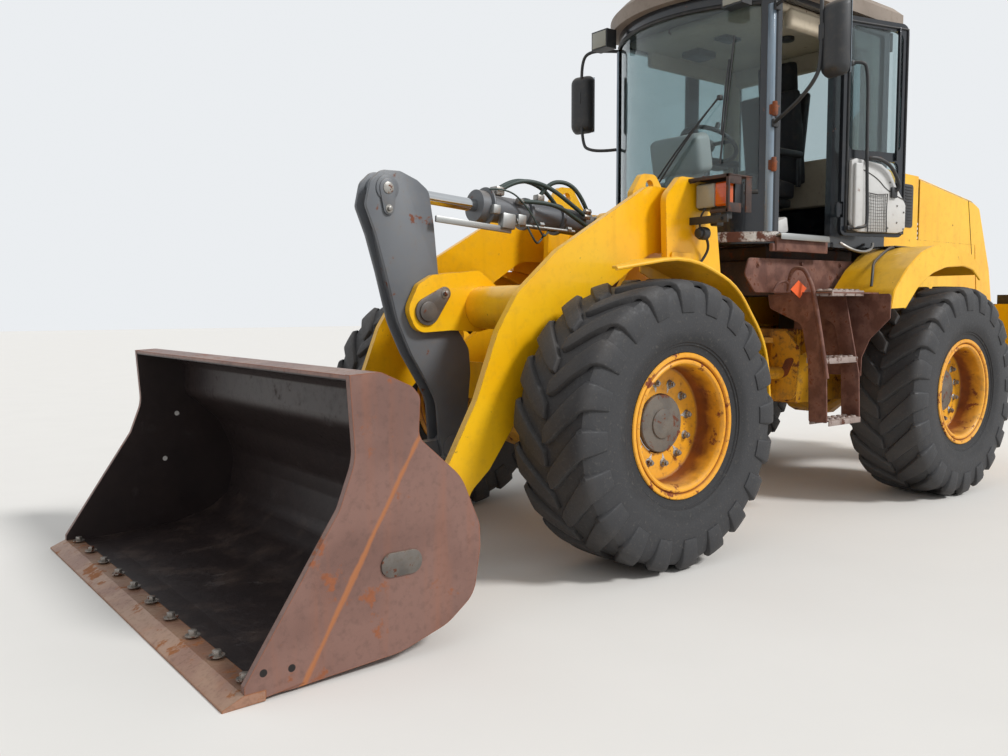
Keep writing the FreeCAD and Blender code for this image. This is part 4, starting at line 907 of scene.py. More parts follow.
def makeDoorTrim():
    look = doorLook
    swing = Matrix.Translation(spot(*look["hinge"], 0)) @ Matrix.Rotation(math.radians(look["open"]), 4, "Z")
    panel = sheetOf([(a, -0.034, z) for a, z in look["panel"]], 0.028, 0.007)
    pad = block((0.07, 0.026, 0.42), (0.113, -0.06, 2.02), bevel=0.011, segments=3)
    lip = sheetOf([(a, -0.0225, z) for a, z in look["panel"]], 0.006)
    edit(lip)
    bpy.ops.transform.resize(value=(1.03, 1, 1.02), center_override=(0.3, -0.0225, 2.0))
    close()
    lining = joined([panel, pad])
    along, up, wide, high = look["net"]
    hem = [(along + u * wide / 2, -0.058, up + v * high / 2) for u, v in look["hem"]]
    # the thin crease line among these dark parts is painted shade
    dark = [makeNet(*look["net"]), tube(hem, 0.0035, 6, smooth=False), tube(look["tube"], 0.0105, 12),
            tube(look["lever"], 0.012, 12), tube(look["creaseShadeLine"], 0.0028, 6), lip]
    dark += [block(size, at, bevel=0.005) for size, at in look["blocks"]]
    # black rubber seal round the frame, and the bar of the glass edge
    dark.append(tube([(a, -0.022, z) for a, z in look["seal"]], 0.009, 8, smooth=False))
    screws = bolted([(a, -0.049, z) for a, z in look["screws"]], 0.004, alongY)
    bar = block((0.012, 0.02, 0.86), (0.47, -0.028, 2.7), bevel=0.003)
    for piece, name, material in ((lining, "doorLining", greyPlastic),
                                  (joined(dark), "doorTrim", blackPlastic),
                                  (screws, "doorScrews", zincSteel), (bar, "doorGlassBar", blackGloss)):
        piece.data.transform(swing)
        finished(piece, name, "door", material)


makeDoorTrim()
print("stage: door")


# Cab. The screen is an arc about a point; places on it go by angle, height
# and distance out of the glass.

screenLook = {
    "middle": -0.5, "radius": 0.88,
    "arms": (((-1.5, 2.07), (27.0, 2.565)), ((2.0, 2.09), (27.8, 2.585))), "armOut": 0.035,
    "blade": ((32.9, 2.942), (28.1, 2.182)), "bladeOut": 0.012,
    "spring": ((31.2, 2.8, 0.02), (29.6, 2.6, 0.034), (28.6, 2.36, 0.02)),
    "pivots": (((0.03, 0.05, 0.06), (0, 2.06, 0.03)), ((0.03, 0.03, 0.03), (28, 2.575, 0.035))),
    "sealHeights": (2.003, 3.128), "sealTurn": 43, "sealOut": -0.004,
    "posts": (47.2, 2.44, -0.014), "hinges": (2.49, 2.16),
    "flangeTurn": 50, "flangeOut": 0.004, "flange": (1.7, 0.062), "flangeEnd": (0.03, 0.677),
}


def onScreen(turn, z, out=0.0):
    a = math.radians(turn)
    reach = screenLook["radius"] + out
    return (screenLook["middle"] + reach * math.cos(a), reach * math.sin(a), z)


def overScreen(first, last, out, steps):
    # places from one angle and height to another
    return [onScreen(*(a + (b - a) * k / steps for a, b in zip(first, last)), out) for k in range(steps + 1)]


def makeCabFront():
    # parallel wiper arms on pivot blocks, the blade, and the seal of the screen
    look = screenLook
    arms = [run(overScreen(low, high, look["armOut"], 6), 0.0055) for low, high in look["arms"]]
    arms += [run(overScreen(*look["blade"], look["bladeOut"], 8), 0.007, 6),
             run([onScreen(*row) for row in look["spring"]], 0.006, 6)]
    arms += [slab(size, onScreen(*at), bevel=0.006) for size, at in look["pivots"]]
    a = look["sealTurn"]
    arms += [run(overScreen((-a, z), (a, z), look["sealOut"], 16), 0.012) for z in look["sealHeights"]]
    finished(joined(arms), "wiper", "rear_frame", blackPlastic)
    # front posts in black gloss, their sky reflection painted into the colour, with their hinge brackets
    turn, z, out = look["posts"]
    posts = [shaft(0.028, 1.36, onScreen(side * turn, z, out), sides=28, bevel=0.004) for side in (-1, 1)]
    finished(joined(posts), "frontPosts", "rear_frame", postSkyReflection)
    brackets = []
    for z in look["hinges"]:
        brackets += [slab((0.05, 0.035, 0.06), (0.098, 0.668, z), bevel=0.006),
                     shaft(0.015, 0.085, (0.118, 0.69, z), bevel=0.003)]
    finished(joined(brackets), "postBrackets", "rear_frame", rustyIron)


sillLook = {
    "tread": ((0.52, 0.055, 0.014), (-0.195, 0.69, 1.742), (0.1, 0, 0), 0.004),
    "lip": ((0.52, 0.006, 0.03), (-0.195, 0.716, 1.728), upright, 0.002),
    "rib": (0.5, 0.004, 0.003), "ribAt": (-0.195, 0.672, 1.7495), "ribs": 4, "ribStep": 0.01,
    "kick": (((0.55, 0.02, 0.085), (-0.2, 0.684, 1.685), upright, 0.006),
             ((0.2, 0.03, 0.05), (0.0, 0.668, 1.665), upright, 0.008)),
    "hose": ((-0.6, 0.7, 1.72), (-0.66, 0.74, 1.675), (-0.8, 0.76, 1.66), (-0.93, 0.74, 1.69),
             (-1.0, 0.7, 1.73)),
}


def makeCabSill():
    look = sillLook
    x, y, z = look["ribAt"]
    ribs = [slab(look["rib"], (x, y + look["ribStep"] * k, z), look["tread"][2]) for k in range(look["ribs"])]
    finished(joined(slabs((look["tread"], look["lip"])) + ribs), "doorSill", "rear_frame", castAluminium)
    finished(joined(slabs(look["kick"])), "doorKick", "rear_frame", claySteel)
    # loose hose under the door
    finished(run(look["hose"], 0.01), "doorStay", "rear_frame", zincSteel)


roomLook = {
    "lining": (((1.22, 1.18, 0.05), (-0.56, 0, 3.165), upright, 0.02, 3),
               ((0.1, 1.14, 0.14), (-1.13, 0, 3.09), upright, 0.03, 3)),
    "liningSides": (((0.11, 0.1, 1.3), (-1.1, 0.58, 2.5), upright, 0.03, 3),
                    ((0.95, 0.06, 0.12), (-0.62, 0.58, 3.1), upright, 0.025, 3)),
    "rearTrim": ((0.09, 1.1, 0.34), (-1.12, 0, 2.2), upright, 0.02),
    # steering column cover in two, side console and its arm, footwell box
    "covers": (((0.17, 0.42, 0.26), (0.13, -0.03, 2.3), (0, 0.2, 0), 0.05, 4),
               ((0.14, 0.26, 0.2), (0.1, -0.02, 2.12), (0, 0.1, 0), 0.04, 3),
               ((0.62, 0.2, 0.46), (-0.45, -0.45, 1.97), upright, 0.03, 3),
               ((0.38, 0.11, 0.05), (-0.5, -0.33, 2.34), upright, 0.02, 3),
               ((0.24, 0.34, 0.1), (-0.08, 0.42, 1.8), (0, 0.25, 0.2), 0.015)),
    "wheelAt": (-0.118, 0, 2.4), "wheelTilt": -30, "wheelRadius": 0.19, "grip": 0.0145,
    "spokes": (90, 210, 330),
    "levers": (-0.47, -0.4), "pedals": (0.06, 0.2, -0.14),
    "floor": ((0.9, 1.16, 0.012), (-0.3, 0, 1.737), upright, 0.004),
}


def makeSteeringWheel():
    look = roomLook
    clearPick()
    bpy.ops.mesh.primitive_torus_add(major_radius=look["wheelRadius"], minor_radius=look["grip"],
                                     major_segments=48, minor_segments=12)
    parts = [bpy.context.object, drum(0.045, 0.05, (0, 0, -0.01), bevel=0.01)]
    for turn in look["spokes"]:
        a = math.radians(turn)
        parts.append(block((0.17, 0.028, 0.012), (0.1 * math.cos(a), 0.1 * math.sin(a), -0.004), (0, 0, a),
                           0.003))
    parts.append(drum(0.016, 0.06, (0.12, 0.14, 0.03), bevel=0.005))
    wheel = joined(parts)
    tilt = Matrix.Rotation(math.radians(look["wheelTilt"]), 4, "Y")
    wheel.data.transform(Matrix.Translation(spot(*look["wheelAt"])) @ tilt)
    return wheel


def makeCabRoom():
    look = roomLook
    lining = slabs(look["lining"]) + slabPairs(look["liningSides"]) + [slab(*look["rearTrim"])]
    finished(joined(lining), "headliner", "rear_frame", beigeTrim)
    lamp = [slab((0.16, 0.11, 0.022), (-0.3, 0.0, 3.13), bevel=0.006),
            shaft(0.05, 0.03, (-0.62, 0.25, 3.13), bevel=0.006),
            slab((0.2, 0.16, 0.05), (-0.42, -0.35, 3.12), bevel=0.012)]
    finished(joined(lamp), "cabLamps", "rear_frame", blackPlastic)
    finished(joined(slabs(look["covers"])), "cabConsole", "rear_frame", greyPlastic)
    dark = [shaft(0.045, 0.56, (-0.03, 0, 2.04), (0, -0.2, 0), bevel=0.006), makeSteeringWheel()]
    for y in look["levers"]:
        dark += [shaft(0.009, 0.16, (-0.27, y, 2.26), (0, 0.1, 0), 12),
                 shaft(0.02, 0.06, (-0.26, y, 2.36), sides=16, bevel=0.008)]
    for y in look["pedals"]:
        dark += [slab((0.03, 0.08, 0.11), (0.12, y, 1.83), (0, -0.5, 0), 0.008),
                 slab((0.1, 0.02, 0.02), (0.16, y, 1.79))]
    controls = joined(dark + [slab(*look["floor"])])
    finished(controls, "cabControls", "rear_frame", blackPlastic)
    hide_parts("cab_controls")


# Cushions: size, place, lean in degrees, how far it bulges.
seatLook = {
    "foam": 0.6, "seam": 0.006, "seamAt": 0.55, "seamWide": 0.05,
    "seatCushion": ((0.5, 0.48, 0.12), (-0.53, 0, 2.13), math.degrees(-0.06), 0.02),
    "seatBack": ((0.66, 0.46, 0.11), (-0.83, 0, 2.5), -82, 0.02),
    "seatHeadrest": ((0.24, 0.3, 0.09), (-0.88, 0, 2.93), -84, 0.012),
    "base": (((0.46, 0.42, 0.06), (-0.54, 0, 2.03), upright, 0.015),
             ((0.36, 0.36, 0.05), (-0.53, 0, 1.76), upright, 0.01)),
    "bellows": 7, "bellowsWide": (0.34, 0.31), "bellowsStep": 0.034, "bellowsFoot": 1.8,
    "arms": (((0.32, 0.055, 0.05), (-0.62, 0.27, 2.36), upright, 0.018, 3),
             ((0.04, 0.02, 0.24), (-0.76, 0.27, 2.26), upright, 0.006)),
    "shell": ((0.05, 0.44, 0.66), (-0.905, 0, 2.5), (0, -0.14, 0), 0.02, 3),
}


def cushion(name, size, at, lean, bulge):
    # A stuffed cushion: a rounded block blown out a little between its seams.
    look = seatLook
    piece = block(size, (0, 0, 0), bevel=0.03, segments=3)
    modify(piece, "SUBSURF", levels=1)
    half = [side / 2 for side in size]
    for corner in piece.data.vertices:
        u, v = corner.co.x / half[0], corner.co.y / half[1]
        puff = bulge * (1 - u * u) * (1 - v * v)
        seam = look["seam"] * math.exp(-((abs(v) - look["seamAt"]) / look["seamWide"]) ** 2)
        corner.co.z += (puff - seam) * (1 if corner.co.z > 0 else -1)
    turn = Euler((0, math.radians(lean), 0)).to_matrix().to_4x4()
    piece.data.transform(Matrix.Translation(spot(*at)) @ turn)
    finished(piece, name, "rear_frame", seatCloth, smooth=60)
    return piece


def makeSeat():
    look = seatLook
    pads = [cushion(name, *look[name]) for name in ("seatCushion", "seatBack", "seatHeadrest")]
    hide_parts("seat")
    parts = slabs(look["base"])
    for k in range(look["bellows"]):
        wide = look["bellowsWide"][k % 2]
        at = (-0.53, 0, look["bellowsFoot"] + look["bellowsStep"] * k)
        parts.append(slab((wide, wide, look["bellowsStep"]), at, bevel=0.008))
    parts += slabPairs(look["arms"]) + [slab(*look["shell"])]
    finished(joined(parts), "seatFrame", "rear_frame", blackPlastic)


mirrorLook = {
    # arm on the left, from the upper bracket to the lower; then the right
    "left": ((0.1, 0.67, 3.1), (0.13, 0.76, 3.12), (0.17, 0.98, 3.12), (0.19, 1.035, 3.08),
             (0.195, 1.045, 2.95),
             (0.195, 1.045, 2.7), (0.2, 1.03, 2.6), (0.17, 0.9, 2.5), (0.125, 0.72, 2.42),
             (0.1, 0.67, 2.41)),
    "right": ((0.035, -0.67, 3.14), (0.1, -0.75, 3.15), (0.17, -0.86, 3.16), (0.18, -0.94, 3.12),
              (0.18, -0.95, 2.9),
              (0.18, -0.94, 2.5), (0.17, -0.86, 2.45), (0.1, -0.75, 2.44), (0.035, -0.67, 2.45)),
    "housing": (0.1, 0.2, 0.44), "places": ((0.155, 1.1, 2.8, -0.25), (0.155, -0.97, 2.8, 0.3)),
    "brackets": ((0.09, 0.675, 3.1), (0.09, 0.675, 2.41), (0.03, -0.675, 3.14), (0.03, -0.675, 2.45)),
}


def makeMirrors():
    look = mirrorLook
    shells, glasses = [], []
    _, wide, high = look["housing"]
    for x, y, z, turn in look["places"]:
        shell = block(look["housing"], (0, 0, 0))
        edit(shell, lambda f: f.normal.x > 0.9)
        bpy.ops.transform.resize(value=(1, 0.72, 0.86))
        close()
        bevelled(shell, 0.045, 5, 25)
        sunk(shell, lambda f: f.normal.x < -0.95 and abs(f.calc_center_median().x) > 0.04, 0.008,
             (0.006, 0, 0))
        glass = block((0.003, wide - 0.035, high - 0.04), (-0.0465, 0, 0), bevel=0.001)
        place = Matrix.Translation(spot(x, y, z)) @ Matrix.Rotation(turn, 4, "Z")
        for part in (shell, glass):
            part.data.transform(place)
        shells.append(shell)
        glasses.append(glass)
    arms = [run(look[side], 0.0115, 10) for side in ("left", "right")]
    arms += [slab((0.035, 0.04, 0.09), (0.185, y, 2.84), bevel=0.008) for y in (1.045, -0.955)]
    arms += [slab((0.05, 0.02, 0.05), at, bevel=0.005) for at in look["brackets"]]
    piece = finished(joined(arms + shells), "mirrorArms", "rear_frame", blackPlastic)
    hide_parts("mirrors")
    finished(joined(glasses), "mirrorGlasses", "rear_frame", mirrorGlass)


makeCabFront()
makeCabSill()
makeCabRoom()
makeSeat()
makeMirrors()
print("stage: cab")


def outline(rows, closed=True):
    # Rounds each corner that has a radius as its third number.
    out = []
    count = len(rows)
    for k, row in enumerate(rows):
        here = Vector(row[:2])
        if len(row) < 3 or not closed and k in (0, count - 1):
            out.append(tuple(here))
            continue
        before, after = Vector(rows[k - 1][:2]) - here, Vector(rows[(k + 1) % count][:2]) - here
        half = before.angle(after) / 2
        reach = min(row[2] / math.tan(half), 0.48 * before.length, 0.48 * after.length)
        radius = reach * math.tan(half)
        middle = here + (before.normalized() + after.normalized()).normalized() * radius / math.sin(half)
        first, last = here + before.normalized() * reach - middle, here + after.normalized() * reach - middle
        start = math.atan2(first.y, first.x)
        turn = (math.atan2(last.y, last.x) - start + math.pi) % (2 * math.pi) - math.pi
        steps = max(2, round(abs(turn) / math.radians(7)))
        out += [(middle.x + radius * math.cos(start + turn * s / steps),
                 middle.y + radius * math.sin(start + turn * s / steps)) for s in range(steps + 1)]
    return out


def swept(rows, low, high, thick, bevel=0.0):
    # A plate that follows places of x and z, from one y to the other.
    piece = traced([spot(x, low, z) for x, z in rows])
    extruded((0, high - low, 0))
    close()
    return thickened(piece, thick, bevel)


def across(rows, x, thick, bevel=0.0):
    # A flat plate across the machine, from places of y and z.
    return sheetOf([spot(x, y, z) for y, z in rows], thick, bevel)


def teardrop(big, small, y, radii, thick):
    lean = math.atan2(small[1] - big[1], small[0] - big[0])
    rows = []
    for (x, z), radius, start in ((big, radii[0], 80), (small, radii[1], -80)):
        sweep = 200 if start > 0 else 160
        rows += [(x + radius * math.cos(lean + math.radians(start + sweep * k / 14)),
                  z + radius * math.sin(lean + math.radians(start + sweep * k / 14))) for k in range(15)]
    return flatXZ(rows, y, thick, 0.003)


# Fenders: x and z from the front end back, then where they reach across.

fenderLook = {
    "front": ((1.81, 1.483), (1.3, 1.56, 0.9), (0.93, 1.42, 0.45), (0.66, 1.1, 0.5), (0.615, 0.72)),
    "frontWide": (0.622, 1.052), "cutIn": 0.71, "cutOut": 1.022, "skin": 0.012, "roll": 0.01,
    "corner": (1.28, 1.765),
    "apron": ((0.825, 1.37, 0.02), (0.825, 1.285, 0.04), (0.96, 1.325), (1.2, 1.45, 0.06), (1.28, 1.485),
              (1.28, 1.53), (1.035, 1.54), (1.035, 1.6, 0.02), (0.86, 1.6, 0.02)),
    "slot": ((0.69, 1.475, 0.03), (0.69, 1.405, 0.03), (1.04, 1.43, 0.035), (1.04, 1.5, 0.035)),
    "rear": ((-0.543, 1.288), (-0.577, 1.399, 0.06), (-0.72, 1.536, 0.15), (-0.891, 1.643, 0.2),
             (-1.071, 1.694, 0.25), (-1.314, 1.696, 0.3), (-1.548, 1.656, 0.25), (-1.685, 1.601, 0.06),
             (-1.748, 1.526)),
    "arch": ((-1.723, 1.489), (-1.608, 1.56, 0.08), (-1.477, 1.581, 0.2), (-1.228, 1.568, 0.3),
             (-1.039, 1.522, 0.3), (-0.862, 1.427, 0.2), (-0.715, 1.294)),
    "rearWide": (0.672, 1.1),
    "grip": ((-0.6, 0.93, 1.43), (-0.63, 0.92, 1.52), (-0.7, 0.88, 1.575), (-0.8, 0.85, 1.615),
             (-0.98, 0.84, 1.7),
             (-1.02, 0.84, 1.695)),
    "strip": (0.4, 0.16, 0.005),
}


def makeFenders():
    look = fenderLook
    low, high = look["frontWide"]
    path = outline(look["front"], closed=False)
    band = swept(path, low, high, look["skin"])
    a, b = look["corner"]
    for corner in band.data.vertices:
        share = min(1.0, (corner.co.x - steerPin - a) / (b - a))
        if share > 0:
            corner.co.y = max(corner.co.y, look["cutIn"] + share * (look["cutOut"] - look["cutIn"]))
    bevelled(band, 0.002, 1)
    roll = run([(x, high, z - look["roll"] * 0.6) for x, z in path], look["roll"], 8, smooth=False)
    apron = flatXZ(outline(look["apron"]), 0.6965, 0.011, 0.003)
    front = finished(both(joined([band, roll, apron])), "frontFenders", "front_frame", fenderEnamel)
    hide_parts("front_fenders")
    slot = flatXZ(outline(look["slot"]), 0.7025, 0.003)
    finished(both(slot), "wingSlots", "front_frame", rustyIron)

    low, high = look["rearWide"]
    top, arch = outline(look["rear"], closed=False), outline(look["arch"], closed=False)
    skin = swept(top, low, high - 0.004, look["skin"])
    wall = flatXZ(top + arch, high - 0.006, look["skin"])
    roll = run([(x, high - 0.008, z) for x, z in arch], 0.008, 8, smooth=False)
    rear = finished(both(joined([skin, wall, roll])), "rearFenders", "rear_frame", fenderEnamel)
    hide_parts("rear_fenders")
    strip = [slab(look["strip"], (-1.22, 0.775, 1.7045), bevel=0.002)]
    rib = (look["strip"][0] - 0.01, 0.006, 0.004)
    strip += [slab(rib, (-1.22, 0.71 + 0.019 * k, 1.708)) for k in range(8)]
    grip = run(look["grip"], 0.009, 10)
    finished(both(joined(strip + [grip])), "fenderTreads", "rear_frame", blackPlastic)


# Linkage: the lever is two plates with a web set back between them.

leverLook = {
    "side": ((2.36, 1.992, 0.05), (2.47, 1.99, 0.06), (2.535, 1.93, 0.06), (2.562, 1.81, 0.05),
             (2.505, 1.67, 0.2),
             (2.45, 1.484, 0.3), (2.385, 1.232, 0.3), (2.305, 1.06, 0.25), (2.205, 0.9, 0.2),
             (2.15, 0.8, 0.2),
             (2.135, 0.59, 0.08), (2.11, 0.475, 0.07), (2.01, 0.465, 0.07), (1.965, 0.54, 0.06),
             (1.95, 0.75, 0.2),
             (1.93, 0.95, 0.15), (1.94, 1.08, 0.08), (2.08, 1.28, 0.15), (2.135, 1.469, 0.3),
             (2.16, 1.73, 0.3),
             (2.19, 1.905, 0.06), (2.26, 1.955, 0.05)),
    "web": ((2.4, 1.76), (2.475, 1.7), (2.425, 1.48, 0.3), (2.36, 1.25, 0.3), (2.28, 1.08, 0.25),
            (2.18, 0.92, 0.2),
            (2.1, 0.84), (1.99, 0.84), (1.975, 1.06, 0.05), (2.11, 1.27, 0.1), (2.17, 1.47, 0.3),
            (2.2, 1.7)),
    "plate": 0.022, "mid": 0.051, "webWide": 0.081,
    "pins": {"top": (2.44, 1.9), "middle": (2.24, 1.28), "foot": (2.05, 0.55)},
    "topBolt": (2.437, 1.796), "earBolt": (2.133, 1.373), "earFace": 0.1145,
}


def makeLinkage():
    look = leverLook
    pins = look["pins"]
    side = flatXZ(outline(look["side"]), look["mid"], look["plate"], 0.003)
    web = flatXZ(outline(look["web"]), 0.0, look["webWide"])
    face = look["mid"] + look["plate"] / 2
    collars = [shaft(0.065, 0.008, (x, face + 0.003, z), alongY, 40, bevel=0.002)
               for x, z in (pins["top"], pins["foot"])]
    arm = finished(joined([both(side), web, both(joined(collars))]), "leverPlates", "lever", greyEnamel)
    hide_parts("lever")
    x, z = look["topBolt"]
    keeper = teardrop(pins["top"], (x, z), face + 0.009, (0.048, 0.03), 0.008)
    finished(both(keeper), "leverKeepers", "lever", greyEnamel)
    bolts = bolted([spot(x, face + 0.013, z)], 0.0125, outwards)
    head = shaft(0.03, 0.01, (pins["top"][0], face + 0.012, pins["top"][1]), alongY, bevel=0.002)
    finished(joined([both(bolts), both(head)]), "leverBolts", "lever", zincSteel)
    # retainers on the boom ears
    (x, z), y = look["earBolt"], look["earFace"]
    keeper = teardrop(pins["middle"], (x, z), y, (0.072, 0.036), 0.014)
    disc = shaft(0.052, 0.014, (pins["middle"][0], y + 0.0105, pins["middle"][1]), alongY, 36, bevel=0.005)
    finished(both(joined([keeper, disc])), "boomKeepers", "boom", keeperSteel)
    finished(both(bolted([spot(x, y + 0.006, z)], 0.0145, outwards)), "boomKeeperBolts", "boom", zincSteel)


barrelLook = {
    "base": (0.905, 1.79), "top": (2.44, 1.9), "radius": 0.088,
    # along, side and up: the hose pair from the gland port back to the base, then the supply loops
    "hoses": (
        ((0.8, 0.02, 0.1), (0.72, 0.03, 0.16), (0.6, 0.05, 0.185), (0.46, 0.06, 0.165),
         (0.32, 0.085, 0.09),
         (0.2, 0.092, 0.03)),
        ((0.8, -0.03, 0.1), (0.7, -0.04, 0.175), (0.55, -0.04, 0.205), (0.38, -0.05, 0.16),
         (0.24, -0.08, 0.05)),
        ((0.7, 0.085, 0.05), (0.6, 0.12, 0.06), (0.45, 0.14, 0.05), (0.3, 0.12, 0.0),
         (0.18, 0.095, -0.03)),
        ((0.52, 0.03, 0.1), (0.48, 0.05, 0.19), (0.36, 0.08, 0.215), (0.26, 0.1, 0.15), (0.2, 0.098, 0.06)),
    ),
    "wires": (
        (0.005, (0.9, 0.06, 0.09), (0.8, 0.1, 0.11), (0.66, 0.11, 0.02), (0.58, 0.13, -0.1),
         (0.52, 0.1, -0.14), (0.48, 0.09, -0.08)),
        (0.006, (0.66, 0.1, -0.07), (0.62, 0.12, -0.15), (0.56, 0.1, -0.18), (0.52, 0.095, -0.11)),
    ),
}
barrelLean = math.atan2(barrelLook["top"][1] - barrelLook["base"][1],
                        barrelLook["top"][0] - barrelLook["base"][0])


def onBarrel(along, side=0.0, up=0.0):
    # along the barrel from its rear pin, to the left, and above its axis
    x, z = barrelLook["base"]
    c, s = math.cos(barrelLean), math.sin(barrelLean)
    return (x + along * c - up * s, side, z + along * s + up * c)


def makeTiltFittings():
    axis = (0, math.pi / 2 - barrelLean, 0)
    level = (0, -barrelLean, 0)
    wide = barrelLook["radius"]
    bands = [shaft(wide + 0.004, 0.02, onBarrel(s), axis, 40, bevel=0.002) for s in (0.36, 0.6)]
    bands += [shaft(wide + 0.022, 0.012, onBarrel(0.885), axis, 40, bevel=0.003)]
    finished(joined(bands), "barrelBands", "tilt_barrel", greyEnamel)
    # level sensor bar, its clamps and the steel pipe
    bar = [slab((0.5, 0.016, 0.034), (1.93, 0.105, 1.742), level, 0.004),
           slab((0.09, 0.05, 0.085), onBarrel(0.8, 0.105, -0.075), level, 0.008),
           slab((0.05, 0.04, 0.05), onBarrel(0.88, 0.1, -0.02), level, 0.006),
           slab((0.06, 0.045, 0.06), onBarrel(0.7, 0.095, -0.055), level, 0.006),
           run([(1.62, 0.1, 1.758), (1.205, 0.1, 1.742)], 0.009, 10, smooth=False)]
    bar += [shaft(0.015, 0.03, onBarrel(s, 0.1, -0.062), axis, 6) for s in (0.72, 0.55, 0.34)]
    finished(joined(bar), "sensorBar", "tilt_barrel", castAluminium)
    hoses = [run([onBarrel(*row) for row in hose], 0.0125, 12) for hose in barrelLook["hoses"]]
    wires = [run([onBarrel(*row) for row in rows], radius) for radius, *rows in barrelLook["wires"]]
    finished(joined(hoses + wires), "tiltHoses", "tilt_barrel", hoseRubber)
    ports = [slab((0.06, 0.07, 0.05), onBarrel(0.8, 0.0, 0.1), level, 0.008),
             slab((0.05, 0.05, 0.04), onBarrel(0.52, 0.03, 0.098), level, 0.006)]
    for hose in barrelLook["hoses"]:
        ports += [shaft(0.019, 0.045, onBarrel(*end), axis, 6, bevel=0.002) for end in (hose[0], hose[-1])]
    finished(joined(ports), "hoseEnds", "tilt_barrel", zincSteel)


bucketLook = {
    "bolts": 10, "boltX": 3.668, "boltZ": 0.048, "reach": 1.16,
    "pad": ((3.024, 0.325, 0.045), (3.196, 0.325, 0.045), (3.196, 0.415, 0.045), (3.024, 0.415, 0.045)),
}


def makeBucketParts():
    look = bucketLook
    step = 2 * look["reach"] / (look["bolts"] - 1)
    places = [spot(look["boltX"], k * step - look["reach"], look["boltZ"]) for k in range(look["bolts"])]
    finished(bolted(places, 0.017), "edgeBolts", "bucket", edgeSteel)
    pad = flatXZ(outline(look["pad"]), 1.2645, 0.0105, 0.003)
    finished(both(pad), "castPads", "bucket", keeperSteel)


# Lamps on the boom towers, in a guard of rusted flat bar. Each glass: size,
# place, bevel, then its ribs' place ahead and width.

lampLook = {
    "shell": ((0.13, 0.24, 0.15), (0.775, 0.815, 1.908), upright, 0.024, 3),
    "mounts": (((0.06, 0.05, 0.11), (0.78, 0.8, 1.8), upright, 0.008),
               ((0.012, 0.32, 0.042), (0.875, 0.79, 1.773), upright, 0.003),
               ((0.05, 0.04, 0.05), (0.85, 0.92, 1.795), upright, 0.006)),
    "horn": ((0.036, 0.05, 0.84, 28, 0.006), (0.026, 0.03, 0.872, 20, 0.004)), "hornAt": (0.755, 1.705),
    "wires": ((0.008, (0.82, 0.75, 1.7), (0.78, 0.745, 1.66), (0.76, 0.72, 1.6), (0.8, 0.705, 1.55)),
              (0.006, (0.84, 0.77, 1.84), (0.86, 0.74, 1.8), (0.85, 0.74, 1.74))),
    "clear": ((0.018, 0.128, 0.13), (0.842, 0.773, 1.908), 0.01, 0.8515, 0.122),
    "amber": ((0.066, 0.094, 0.13), (0.822, 0.888, 1.908), 0.012, 0.8555, 0.084),
    "ribs": 7, "ribFoot": 1.858, "ribStep": 0.0167,
    "guard": (((0.2, 0.33, 0.008), (0.79, 0.8, 2.001)), ((0.05, 0.008, 0.19), (0.715, 0.958, 1.905)),
              ((0.014, 0.33, 0.018), (0.886, 0.8, 1.996)), ((0.014, 0.018, 0.2), (0.886, 0.956, 1.905)),
              ((0.014, 0.12, 0.018), (0.886, 0.9, 1.814)), ((0.1, 0.008, 0.05), (0.83, 0.958, 1.98)),
              ((0.1, 0.008, 0.05), (0.83, 0.958, 1.83)),
              ((0.05, 0.06, 0.008), (0.86, 0.69, 1.99), (0, 0.3, 0))),
    "guardBolts": ((0.74, 0.72), (0.74, 0.86), (0.85, 0.76)),
}


def lampGlasses(kind, name, material):
    # A lamp glass with level ribs on its face.
    look = lampLook
    size, at, bevel, x, wide = look[kind]
    parts = [slab(size, at, bevel=bevel, segments=3)]
    for k in range(look["ribs"]):
        parts.append(slab((0.003, wide, 0.003), (x, at[1], look["ribFoot"] + look["ribStep"] * k)))
    finished(both(joined(parts)), name, "front_frame", material)


def makeHeadlights():
    look = lampLook
    shell = slab(*look["shell"])
    sunk(shell, lambda f: f.normal.x > 0.98, 0.006, (-0.008, 0, 0))
    dark = [shell] + slabs(look["mounts"])
    dark += [shaft(radius, deep, (x, *look["hornAt"]), alongX, sides, bevel=bevel)
             for radius, deep, x, sides, bevel in look["horn"]]
    dark += [run(rows, radius) for radius, *rows in look["wires"]]
    bolts = bolted([spot(0.8815, y, 1.773) for y in (0.66, 0.91)], 0.009, alongX)
    lamp = finished(both(joined(dark + [bolts])), "headlampHousings", "front_frame", blackPlastic)
    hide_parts("headlights")
    lampGlasses("clear", "headlampLenses", lampGlass)
    lampGlasses("amber", "turnLenses", amberLens)
    bolts = bolted([spot(x, y, 2.005) for x, y in look["guardBolts"]], 0.008)
    guard = slabs(look["guard"], bevel=0.002)
    finished(both(joined(guard + [bolts])), "lampGuards", "front_frame", scaledIron)


# Ladder: a plate on each side, two treads with pierced collars, hand hoops

